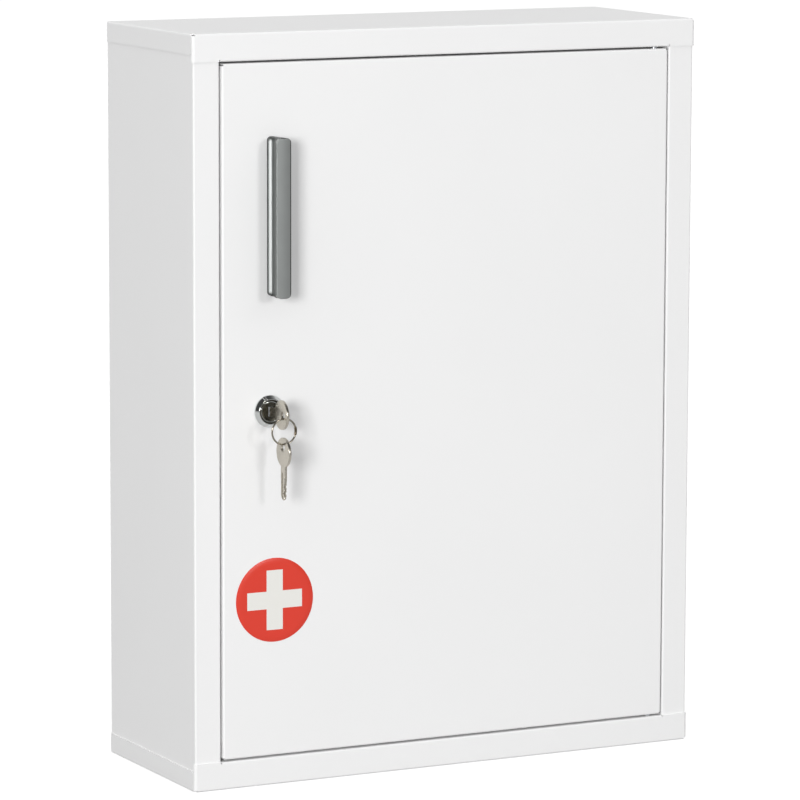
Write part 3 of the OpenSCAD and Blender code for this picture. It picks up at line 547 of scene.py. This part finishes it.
# %% [markdown]
# ## The lock's housing
# Bezel and barrel are one zinc casting, turned, and so one closed profile turned round the axis. From
# the door outwards it has the bezel's side, its bevel, a narrow front ring, a groove, a thin collar
# round the plug, and the bore. Behind the door the barrel's rows are close enough to carry a thread.
# A modifier could turn the profile too, but computed points can still be moved by the next cell.

# %% Housing profile
BEZEL_R, BEZEL_OUT, MOUTH_R, RING_W = 9.85, 3.0, 7.35, 0.45
COLLAR_IN, COLLAR_W, GROOVE_FLOOR, COLLAR_OUT = 5.9, 0.45, 1.0, 2.5
BARREL_R, BARREL_END, BORE_R, PLUG_SEAT = 8.0, -16.2, 5.3, 0.5
THREAD_PITCH, ROWS_PER_TURN = 1.0, 8
INDEX_ANGLE, INDEX_HALF, INDEX_FLANK = math.radians(114), 0.044, 0.12

bezel_corners = np.array([
    [BARREL_R, 0], [BEZEL_R, 0], [BEZEL_R, BEZEL_OUT / 3], [MOUTH_R + RING_W, BEZEL_OUT],
    [MOUTH_R, BEZEL_OUT], [MOUTH_R, GROOVE_FLOOR], [COLLAR_IN + COLLAR_W, GROOVE_FLOOR],
    [COLLAR_IN + COLLAR_W, COLLAR_OUT], [COLLAR_IN, COLLAR_OUT], [COLLAR_IN, PLUG_SEAT],
    [BORE_R, PLUG_SEAT], [BORE_R, BARREL_END], [BARREL_R - 0.5, BARREL_END], [BARREL_R, BARREL_END + 0.5]
])
bezel_ease = [0.02, 0.15, 0.3, 0.2, 0.15, 0.1, 0.1, 0.2, 0.2, 0.05, 0.05, 0.2, 0.1, 0.1]
barrel_rows = np.arange(BARREL_END + 0.6, -0.05, THREAD_PITCH / ROWS_PER_TURN)
barrel_profile = np.stack([np.full(barrel_rows.shape, BARREL_R), barrel_rows], axis=1)
housing_profile = np.concatenate([eased(bezel_corners, bezel_ease, steps=6), barrel_profile])
index_fan = INDEX_ANGLE + np.array([-0.12, -0.048, -0.040, 0.0, 0.040, 0.048, 0.12])
housing_angles = np.sort(np.concatenate([np.linspace(0, 2 * math.pi, 180, endpoint=False), index_fan]))
housing = turned(housing_profile, housing_angles)
print("housing:", len(housing_profile), "rows round", len(housing_angles), "angles")

# %% [markdown]
# ## Index mark and thread
# Two cuts move the points of the turned housing. The index mark is a fine line across the bevel, with
# flanks that slope away from it, so it shows as a dark line between two light ones. The thread has a
# pitch of 1 mm, and two flats are milled along it, which stop the lock from turning in the door.

# %% Cuts in the housing
INDEX_DEPTH, INDEX_EDGE, INDEX_RUN, THREAD_DEPTH, HALF_FLATS = 0.8, 0.5, 0.072, 0.45, 7.0


def cut_index(points, angles):
    """Sinks the bevel by the mark's depth where |a - m| < half, else by e (flank - |a - m|) / run."""
    away = np.abs(angles - INDEX_ANGLE)
    flank = INDEX_EDGE * np.clip((INDEX_FLANK - away) / INDEX_RUN, 0, 1)
    sink = np.where(away < INDEX_HALF, INDEX_DEPTH, flank)
    radius = np.hypot(points[..., 0], points[..., 1])
    on_bevel = (radius > MOUTH_R + RING_W - 0.1) & (points[..., 2] > 0.6)
    sunk = points.copy()
    sunk[..., 2] -= sink * on_bevel
    return sunk


def cut_thread(points, angles):
    """Threads and flattens the barrel: r = min(R - d |2 frac(out / p - a / 2 pi) - 1|, f / |cos a|)."""
    radius, out = np.hypot(points[..., 0], points[..., 1]), points[..., 2]
    turn = np.abs(2 * np.mod(out / THREAD_PITCH - angles / (2 * math.pi), 1) - 1)
    threaded = (out < -2.0) & (radius > BARREL_R - 0.05)
    new = np.where(threaded, radius - THREAD_DEPTH * turn, radius)
    on_barrel = (out < -0.03) & (radius > BARREL_R - 0.6)
    flats = HALF_FLATS / np.maximum(np.abs(np.cos(angles)), 1e-6)
    new = np.where(on_barrel, np.minimum(new, flats), new)
    scale = new / np.maximum(radius, 1e-9)
    return points * np.stack([scale, scale, np.ones_like(scale)], axis=-1)


housing = cut_thread(cut_index(housing, housing_angles), housing_angles)
print("index mark at", round(math.degrees(INDEX_ANGLE)), "degrees, thread", THREAD_DEPTH, "mm deep")

# %% [markdown]
# ## The housing as one piece
# A lug on the barrel's end meets the stop washer and leaves the plug its quarter turn. It is a short
# turned block with two end faces. The groove and the bottom of the index mark get the dark finish,
# as painted shade in these recesses.

# %% Housing and its painted-shade groove
LUG_IN, LUG_OUT, LUG_HALF_TURN = 5.8, 6.8, 13
LUG_END, LUG_ROOT = BARREL_END - 1.0, BARREL_END + 0.3
lug_turn = np.radians(np.linspace(-LUG_HALF_TURN, LUG_HALF_TURN, 12))
lug_profile = np.array([[LUG_IN, LUG_END], [LUG_OUT, LUG_END], [LUG_OUT, LUG_ROOT], [LUG_IN, LUG_ROOT]])
lug = turned(lug_profile, lug_turn)
lug_ends = [np.stack([lug[[0, 1], k], lug[[3, 2], k]]) for k in (0, -1)]
housing_grids = [(on_axis(housing, LOCK), True, True), (on_axis(lug, LOCK), True, False)]
housing_grids += [(on_axis(end, LOCK), False, False) for end in lug_ends]
housing_piece = add_piece("lock_housing", housing_grids, "door", bright_chrome, "lock_body")


def groove_painted_shade(right, out, up):
    """True where shade is painted: between collar and mouth, and in the bottom of the index mark."""
    radius, angle = np.hypot(right, up), np.arctan2(up, right)
    in_mouth = (radius > COLLAR_IN + COLLAR_W - 0.02) & (radius < MOUTH_R + 0.02)
    mark = (radius > MOUTH_R + RING_W) & (np.abs(angle - INDEX_ANGLE) < 0.042)
    return (in_mouth & (out < COLLAR_OUT - 0.3) | mark) & (out > 0.3)


second_finish(housing_piece, dark_plug_and_painted_shade, LOCK, groove_painted_shade)

# %% [markdown]
# ## The plug's face
# A thin dark cap is crimped over the plug's head. It is a ring between two outlines with the same
# number of points, the keyway's rectangle and the head's circle, and each row blends from one to the
# other. Its surface is a shallow dish with a raised rim, and a raised lip runs round the keyway. The lip
# is given bright zinc, a painted highlight where the keyway glints.

# %% Plug face
PLUG_FACE, FACE_GAP, HEAD_R, FACE_T, DISH = 2.0, 0.005, 5.85, 0.12, 0.1
KEYWAY_HALF_W, KEYWAY_HALF_H, LIP_W = 1.0, 2.65, 0.25
face_angles = np.linspace(0, 2 * math.pi, 144, endpoint=False)
head_circle = np.stack([np.cos(face_angles), np.sin(face_angles)], axis=1)


def keyway_outline(grow):
    """Point of a rectangle in each direction: the ray (cos a, sin a) times min(w / |cos a|, h / |sin a|)."""
    across, up = np.maximum(np.abs(head_circle), 1e-6).T
    reach = np.minimum((KEYWAY_HALF_W + grow) / across, (KEYWAY_HALF_H + grow) / up)
    return head_circle * reach[:, None]


lip = [(keyway_outline(grow), level) for grow, level in (
    (0.0, 0.0), (0.0, FACE_T + 0.1), (0.1, FACE_T + 0.15), (LIP_W, FACE_T))]
dish = [(keyway_outline(LIP_W) * (1 - share) + head_circle * (HEAD_R - 0.45) * share,
         FACE_T - DISH * math.sin(math.pi * share) ** 0.5) for share in np.linspace(0, 1, 12)[1:-1]]
rim = [(head_circle * radius, level) for radius, level in (
    (HEAD_R - 0.4, FACE_T + 0.1), (HEAD_R - 0.2, FACE_T + 0.12), (HEAD_R - 0.06, FACE_T + 0.05),
    (HEAD_R, 0.0))]
face_grid = np.stack([np.column_stack([row, np.full(len(row), PLUG_FACE + FACE_GAP + level)])
                      for row, level in lip + dish + rim])
plug_cap = add_piece("plug_face_cap", [(on_axis(face_grid, LOCK), True, True)], "plug", dark_plug_and_painted_shade)
# The lip round the keyway takes bright zinc: a painted highlight.
second_finish(plug_cap, zinc_plate, LOCK, lambda right, out, up: (
    (np.abs(right) < KEYWAY_HALF_W + 0.2) & (np.abs(up) < KEYWAY_HALF_H + 0.2)))

# %% [markdown]
# ## A key's outline
# Both keys are stamped from sheet, plated, tumbled and cut. A key's outline is a row of stations from
# the tip to the bow's end, each with a half height above and below the middle line. The tip is half
# an ellipse, the blade is straight, the neck is a little higher, and the bow is a circle that meets
# the neck directly. Stations are closer where the bow's hole begins and ends.

# %% Key outline
BLADE_HALF_H, KEY_TIP, TIP_L, SHOULDER_X, NECK_HALF_H = 2.5, -11.4, 4.0, 2.4, 2.8
BOW_C, BOW_R, HOLE_C, HOLE_R = 17.6, 8.9, 20.5, 2.5
CUTS = np.array([1, 3, 2, 4, 2])
CUT_FIRST, CUT_PITCH, CUT_STEP, CUT_SLOPE, CUT_FLAT = -0.9, 2.1, 0.42, 1.7, 0.3


def cut_depth(x):
    """Depth of the key's cuts at x: full within the flat f of a cut's middle, then c + s (f - |x - m|)."""
    away = np.abs(x[:, None] - (CUT_FIRST - CUT_PITCH * np.arange(len(CUTS))))
    full = CUTS * CUT_STEP
    return np.clip(full + CUT_SLOPE * (CUT_FLAT - away), 0, full).max(axis=1)


def key_stations():
    """Outline stations (x, upper half height, lower half height) from the tip to the bow's end."""
    tip_turn = np.linspace(math.pi, math.pi / 2, 12)
    tip_x = KEY_TIP + TIP_L * (1 + np.cos(tip_turn))
    blade_x = np.linspace(tip_x[-1], SHOULDER_X, 118)[1:]
    blade = np.concatenate([tip_x, blade_x])
    upper = np.concatenate([BLADE_HALF_H * np.sin(tip_turn), np.full(len(blade_x), BLADE_HALF_H)])
    lower = np.minimum(upper, BLADE_HALF_H - cut_depth(blade))
    touch = math.pi - math.asin(NECK_HALF_H / BOW_R)
    hole_x = HOLE_C - HOLE_R * np.cos(np.linspace(0, math.pi, 25))
    through_hole = np.arccos((hole_x - BOW_C) / BOW_R)
    bow_turn = np.concatenate([np.linspace(touch, through_hole[0], 22)[:-1], through_hole,
                               np.linspace(through_hole[-1], 0, 16)[1:]])
    neck_end = BOW_C + BOW_R * math.cos(touch)
    neck_x = np.concatenate([[SHOULDER_X], np.linspace(SHOULDER_X + 0.2, neck_end, 16)[:-1]])
    rest_x = np.concatenate([neck_x, BOW_C + BOW_R * np.cos(bow_turn)])
    rest_y = np.concatenate([np.full(len(neck_x), NECK_HALF_H), BOW_R * np.sin(bow_turn)])
    return np.concatenate([blade, rest_x]), np.concatenate([upper, rest_y]), np.concatenate([lower, rest_y])


station_x, upper_half, lower_half = key_stations()
print("key:", len(station_x), "stations,", round(BOW_C + BOW_R - KEY_TIP, 1), "mm long")

# %% [markdown]
# ## A key's sections
# A key is two halves that mirror each other about its middle line, apart from the cuts and a groove
# milled along one flank. At each station the half's section runs from the hole's edge, or from the
# middle line, out to the rounded rim and back along the other face. The hole's wall is one more strip,
# only where there is a hole. Towards the tip the section gets thinner.

# %% Key sections
KEY_T, TIP_THIN, TIP_TAPER = 1.7, 0.4, 3.0
GROOVE_LOW, GROOVE_HIGH, GROOVE_DEPTH, GROOVE_END, GROOVE_RUN = 0.1, 1.3, 0.6, 5.8, 1.2
BLADE_SOFT, BOW_SOFT, HOLE_BEVEL = 0.12, 0.3, 0.18


def outline_normals(outline):
    """Unit normals of the outline: its direction (dx, dy) turned to (-dy, dx), level at both ends."""
    along = np.gradient(outline, axis=0)
    normal = np.stack([-along[:, 1], along[:, 0]], axis=1)
    normal /= np.maximum(np.linalg.norm(normal, axis=1, keepdims=True), 1e-9)
    normal[0], normal[-1] = (-1, 0), (1, 0)
    return normal


def columns_of(x, pairs):
    """Section columns: each (y, z) of the pairs becomes the points (x, y, z) of all stations."""
    return np.stack([np.stack([x, y, np.broadcast_to(z, y.shape)], axis=1) for y, z in pairs], axis=1)


def key_half(x, height, side, groove):
    """Sections of one half: rows are stations, columns go hole edge, face, rim, other face, hole edge."""
    outline, top = np.stack([x, height], axis=1), KEY_T / 2
    soft = np.where(x < SHOULDER_X, BLADE_SOFT, BOW_SOFT)[:, None]
    inner_x = np.clip(x, KEY_TIP + BLADE_SOFT, BOW_C + BOW_R - BOW_SOFT)
    hole = np.sqrt(np.maximum(HOLE_R ** 2 - (inner_x - HOLE_C) ** 2, 0))
    bevel = np.where(hole > 1e-6, HOLE_BEVEL, 0)
    turn = np.linspace(0, math.pi / 2, 5)
    rim = outline[:, None] - outline_normals(outline)[:, None] * (soft * (1 - np.sin(turn)))[..., None]
    rim_y = np.maximum(rim[..., 1], hole[:, None])
    front_rim = np.stack([rim[..., 0], rim_y, top - soft * (1 - np.cos(turn))], axis=-1)
    back_rim = front_rim[:, ::-1] * [1, 1, -1]
    inside = np.minimum(hole + bevel, rim_y[:, 0])
    low = np.clip(GROOVE_LOW, inside, rim_y[:, 0])
    high = np.clip(GROOVE_HIGH, inside, rim_y[:, 0])
    depth = GROOVE_DEPTH * groove * np.clip((GROOVE_END - inner_x) / GROOVE_RUN, 0, 1)
    depth = depth * (high - low) / (GROOVE_HIGH - GROOVE_LOW)
    face = [(hole, top - bevel), (inside, top), (low, top), (low, top - depth), (high, top - depth),
            (high, top)]
    back = [(inside, -top), (hole, bevel - top)]
    sections = np.concatenate([columns_of(inner_x, face), front_rim, back_rim, columns_of(inner_x, back)],
                              axis=1)
    thin = TIP_THIN + (1 - TIP_THIN) * np.clip((x - KEY_TIP) / TIP_TAPER, 0, 1) ** 0.7
    sections[..., 2] *= thin[:, None]
    open_hole = np.flatnonzero(hole > 1e-6)
    span = slice(open_hole[0] - 1, open_hole[-1] + 2)
    wall = np.stack([sections[span, 0], sections[span, -1]], axis=1)
    return sections * [1, side, 1], wall * [1, side, 1]


key_grids = [*key_half(station_x, upper_half, 1, 1.0), *key_half(station_x, lower_half, -1, 0.0)]
print("key grids:", [grid.shape[:2] for grid in key_grids])

# %% [markdown]
# ## The two keys
# The same grids give both keys. One stands in the lock with its bow out, and the spare hangs from the
# ring with its bow up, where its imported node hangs.

# %% Two keys
def add_key(name, place, body, node):
    """A key: its grids are turned to (-flank, up, along) and put in the room by a function."""
    grids = [(place(grid[..., [2, 1, 0]] * [-1, 1, 1]), False, False) for grid in key_grids]
    piece = add_piece(name, grids, body, key_nickel, node, edge_angle=40)


spare_low, spare_high = node_box("spare_key")
SPARE = np.array([LOCK[0], (spare_low[1] + spare_high[1]) / 2, spare_high[2] - BOW_C - BOW_R])
add_key("cut_key", lambda grid: on_axis(grid, LOCK), "key", "lock_key")
add_key("spare_cut_key", lambda grid: grid + SPARE, "spare", "spare_key")

# %% [markdown]
# ## Key ring
# A short length of nickel wire is bent into a ring, and its ends are held by a small crimped sleeve of
# browned brass. The wire's section is a circle carried round the ring. At the sleeve the circle grows
# and flattens, so ring and sleeve stay one closed surface, where a plain torus would need a second part.

# %% Key ring
WIRE_R, SLEEVE_HALF_L, SLEEVE_WIDE, SLEEVE_FLAT, SLEEVE_RISE = 0.55, 2.5, 0.28, 0.16, 0.35
ring_low, ring_high = node_box("key_ring")
RING = np.array([LOCK[0], (ring_low[1] + ring_high[1]) / 2, (ring_low[2] + ring_high[2]) / 2])
RING_R = (ring_high[2] - ring_low[2]) / 2 - WIRE_R
ring_turn = np.linspace(-math.pi, math.pi, 240, endpoint=False)
wire_turn = np.linspace(0, 2 * math.pi, 20, endpoint=False)
sleeve = np.clip((SLEEVE_HALF_L - np.abs(ring_turn) * RING_R) / SLEEVE_RISE, 0, 1)[:, None] ** 0.5
radius = RING_R + (WIRE_R + SLEEVE_WIDE * sleeve) * np.cos(wire_turn)
outward = (WIRE_R + SLEEVE_FLAT * sleeve) * np.sin(wire_turn)
ring_grid = np.stack([radius * np.cos(ring_turn)[:, None], radius * np.sin(ring_turn)[:, None], outward],
                     axis=-1)
ring_piece = add_piece("wire_ring", [(on_axis(ring_grid, RING), True, True)], "ring", ring_steel, "key_ring")
second_finish(ring_piece, sleeve_brass, RING, lambda right, out, up: (
    (np.abs(np.arctan2(up, right)) * RING_R < SLEEVE_HALF_L) & (right > 0)))

# %% [markdown]
# ## First-aid sticker
# A die-cut disc of printed vinyl lies on the door. It is a profile with a softly rounded edge, turned
# as the housing is. Its own edge catches the light, which a flat decal wouldn't.

# %% Sticker
sticker_low, sticker_high = node_box("first_aid_sticker")
STICKER = np.array([(sticker_low[0] + sticker_high[0]) / 2, DOOR_FACE,
                    (sticker_low[2] + sticker_high[2]) / 2])
STICKER_R, STICKER_T = (sticker_high[2] - sticker_low[2]) / 2, 0.2
disc_profile = np.array([[0, STICKER_T], [8, STICKER_T], [16, STICKER_T], [22, STICKER_T],
                         [STICKER_R - 0.12, STICKER_T], [STICKER_R - 0.03, STICKER_T - 0.05],
                         [STICKER_R, STICKER_T - 0.12], [STICKER_R, 0], [0, 0]])
disc_turn = np.linspace(0, 2 * math.pi, 160, endpoint=False)
vinyl, vinyl_tree, vinyl_shader = new_finish("vinyl_film_printed", roughness=0.34, ior=1.5)
disc = add_piece("first_aid_disc", [(on_axis(turned(disc_profile, disc_turn), STICKER), False, True)],
                 "door", vinyl, "first_aid_sticker")

# %% [markdown]
# ## Printed vinyl
# The vinyl is printed red, and the cross is left white. Print has no thickness, so the material draws
# it: a point is in the cross where the smaller of its distances from the two middle lines is under half
# an arm, and the larger under half the cross. The film has a satin sheen, and the glue below it makes it
# faintly wavy, a few millimetres from crest to crest.

# %% Sticker print
CROSS_HALF, ARM_HALF = 18.3, 5.4
sticker_x, _, sticker_z = place_of(vinyl_tree)
off_x, off_z = off_middle(vinyl_tree, sticker_x, STICKER[0]), off_middle(vinyl_tree, sticker_z, STICKER[2])
nearer, farther = (joined(vinyl_tree, which, [off_x, off_z]) for which in ("MINIMUM", "MAXIMUM"))
in_arm, in_reach = (
    add_node(vinyl_tree, "ShaderNodeMath", {0: distance, 1: limit * MM}, operation="LESS_THAN").outputs[0]
    for distance, limit in ((nearer, ARM_HALF), (farther, CROSS_HALF)))
in_cross = joined(vinyl_tree, "MULTIPLY", [in_arm, in_reach])
vinyl_tree.links.new(overlaid(vinyl_tree, linear("#DB3A28"), (in_cross, linear("#E9E8E3"))),
                     vinyl_shader.inputs["Base Color"])
film = add_node(vinyl_tree, "ShaderNodeTexNoise", {"Vector": object_place(vinyl_tree)},
                scale=cycles_per_metre(4), detail=2.0)
dress(vinyl_tree, vinyl_shader, film.outputs["Fac"], (0.30, 0.38), 0.01, strength=0.5)
print("cross", 2 * CROSS_HALF, "mm high on a disc of", round(2 * STICKER_R, 1), "mm")

# %% [markdown]
# ## Camera
# A long lens stands to the left of the cabinet and a little above its middle, so the left side shows
# and the uprights stay nearly parallel. The camera looks along one direction, and then slides in its
# own plane to place the cabinet in the frame, which keeps the perspective as a turn wouldn't.

# %% Camera
AZIMUTH, ELEVATION, ROLL = math.radians(-27.067), math.radians(8.349), math.radians(0.170)
CAMERA_DISTANCE, CAMERA_RIGHT, CAMERA_UP = 3.040, 0.02804, -0.01663
FOCAL_PX, PICTURE_PX, SENSOR_MM = 4787, 800, 36
camera_data = bpy.data.cameras.new("camera")
camera_data.sensor_width = SENSOR_MM
camera_data.lens = FOCAL_PX * SENSOR_MM / PICTURE_PX
camera_data.clip_end = 100
camera = bpy.data.objects.new("camera", camera_data)
bpy.context.scene.collection.objects.link(camera)
back = Vector((math.sin(AZIMUTH) * math.cos(ELEVATION), -math.cos(AZIMUTH) * math.cos(ELEVATION),
               math.sin(ELEVATION)))
right = Vector((math.cos(AZIMUTH), math.sin(AZIMUTH), 0))
up = back.cross(right)
camera_turn = Matrix((right, up, back)).transposed().to_4x4() @ Matrix.Rotation(ROLL, 4, "Z")
camera_place = back * CAMERA_DISTANCE + right * CAMERA_RIGHT + up * CAMERA_UP
camera.matrix_world = Matrix.Translation(camera_place) @ camera_turn
bpy.context.scene.camera = camera
print("lens of", round(camera_data.lens), "mm at", [round(v, 2) for v in camera_place], "m")

# %% [markdown]
# ## Floor
# The cabinet stands on white paper. Where nothing shades it the camera sees pure white, and the soft
# shadow stays: the paper is grey and diffuse, and glows. Polished metal sees a floor of its own, lighter
# round the cabinet than in front of it, so the chrome and the nickel get a light and a dark side. The
# floor tells them apart by the kind of ray that meets it. Stronger lamps could whiten it as well, but
# they would bleach the cabinet.

# %% Floor
FLOOR_HALF, FLOOR_Z = 20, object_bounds()[0][2]
PAPER, PAPER_GLOW = "#A0A0A0", 0.8
FRONT_Y, NEAR_Y, FRONT_IN_METAL, NEAR_IN_METAL = -1.5, -0.6, 0.4, 0.68


def pick_by_ray(tree, ray, otherwise, when):
    """Mixes two shaders by the kind of ray that meets them."""
    path = add_node(tree, "ShaderNodeLightPath")
    pick = add_node(tree, "ShaderNodeMixShader", {"Fac": path.outputs[ray]})
    tree.links.new(otherwise.outputs[0], pick.inputs[1])
    tree.links.new(when.outputs[0], pick.inputs[2])
    return pick


floor_corners = [(-FLOOR_HALF, -FLOOR_HALF, FLOOR_Z), (FLOOR_HALF, -FLOOR_HALF, FLOOR_Z),
                 (FLOOR_HALF, FLOOR_HALF, FLOOR_Z), (-FLOOR_HALF, FLOOR_HALF, FLOOR_Z)]
floor_mesh = bpy.data.meshes.new("floor")
floor_mesh.from_pydata(floor_corners, [], [(0, 1, 2, 3)])
floor = bpy.data.objects.new("floor", floor_mesh)
bpy.context.scene.collection.objects.link(floor)
floor_finish = bpy.data.materials.new("paper_floor_white")
floor_finish.use_nodes = True
floor_tree = floor_finish.node_tree
floor_tree.nodes.clear()
paper = add_node(floor_tree, "ShaderNodeBsdfDiffuse", {"Color": linear(PAPER)})
glow = add_node(floor_tree, "ShaderNodeEmission", strength=PAPER_GLOW)
seen_floor = add_node(floor_tree, "ShaderNodeAddShader", {0: paper.outputs[0], 1: glow.outputs[0]})
floor_light = add_node(floor_tree, "ShaderNodeMapRange", {
    "Value": soft_mask(floor_tree, [(place_of(floor_tree)["Y"], FRONT_Y, NEAR_Y)]),
    "To Min": FRONT_IN_METAL, "To Max": NEAR_IN_METAL})
floor_in_metal = add_node(floor_tree, "ShaderNodeEmission", {"Strength": floor_light.outputs["Result"]})
floor_by_gloss = pick_by_ray(floor_tree, "Is Glossy Ray", paper, floor_in_metal)
floor_by_eye = pick_by_ray(floor_tree, "Is Camera Ray", floor_by_gloss, seen_floor)
add_node(floor_tree, "ShaderNodeOutputMaterial", {"Surface": floor_by_eye.outputs[0]})
floor_mesh.materials.append(floor_finish)
print("floor at z =", round(FLOOR_Z / MM, 1), "mm")

# %% [markdown]
# ## Room light
# An even light comes from all around and grows from the horizon to overhead, as under a white ceiling.
# Polished metal sees a room of its own: a white backdrop behind the cabinet, and a dark front and a
# dark ceiling. Its faces then turn light or dark with their slope. Two ramps on the direction are
# enough for that, and no picture of a room has to be loaded. The camera sees white.

# %% Room light
HORIZON, OVERHEAD, DARK_IN_METAL, LIGHT_IN_METAL = 0.07, 1.05, 0.06, 0.97
room = bpy.data.worlds.new("room")
room.use_nodes = True
room_tree = room.node_tree
room_tree.nodes.clear()
toward = add_node(room_tree, "ShaderNodeSeparateXYZ",
                  {"Vector": add_node(room_tree, "ShaderNodeTexCoord").outputs["Generated"]}).outputs
overhead = add_node(room_tree, "ShaderNodeMapRange", {
    "Value": toward["Z"], "To Min": HORIZON, "To Max": OVERHEAD})
backdrop = add_node(room_tree, "ShaderNodeMapRange", {
    "Value": soft_mask(room_tree, [(toward["Y"], -0.45, 0.1), (toward["Z"], 1.0, 0.45)]),
    "To Min": DARK_IN_METAL, "To Max": LIGHT_IN_METAL})
even, room_in_metal, white = (
    add_node(room_tree, "ShaderNodeBackground", {"Color": (1, 1, 1, 1), "Strength": strength})
    for strength in (overhead.outputs["Result"], backdrop.outputs["Result"], 1.0))
room_by_gloss = pick_by_ray(room_tree, "Is Glossy Ray", even, room_in_metal)
room_by_eye = pick_by_ray(room_tree, "Is Camera Ray", room_by_gloss, white)
add_node(room_tree, "ShaderNodeOutputWorld", {"Surface": room_by_eye.outputs[0]})
bpy.context.scene.world = room
print("room light", HORIZON, "at the horizon and", OVERHEAD, "overhead")

# %% [markdown]
# ## Lamps
# One wide lamp stands at the left front, a little above the cabinet. It lights the door and the left
# side and makes the soft shadow. A smaller and weaker lamp stands at the right front.

# %% Lamps
def soft_lamp(name, place, size, power):
    """A square lamp that faces the cabinet's middle."""
    lamp = bpy.data.lights.new(name, "AREA")
    lamp.shape, lamp.size, lamp.energy = "SQUARE", size, power
    holder = bpy.data.objects.new(name, lamp)
    bpy.context.scene.collection.objects.link(holder)
    holder.location = place
    holder.rotation_euler = (-Vector(place)).to_track_quat("-Z", "Y").to_euler()
    print(f"{name}: {power} W over {size} m, {Vector(place).length:.1f} m away")


soft_lamp("left_lamp", (-3.44, -3.66, 0.82), 1.3, 145)
soft_lamp("right_lamp", (0.9, -4.4, 1.0), 0.75, 37)

# %% [markdown]
# ## Finish
# The picture is shown without a film curve, so white stays white.

# %% Finish
bpy.context.scene.view_settings.view_transform = "Standard"
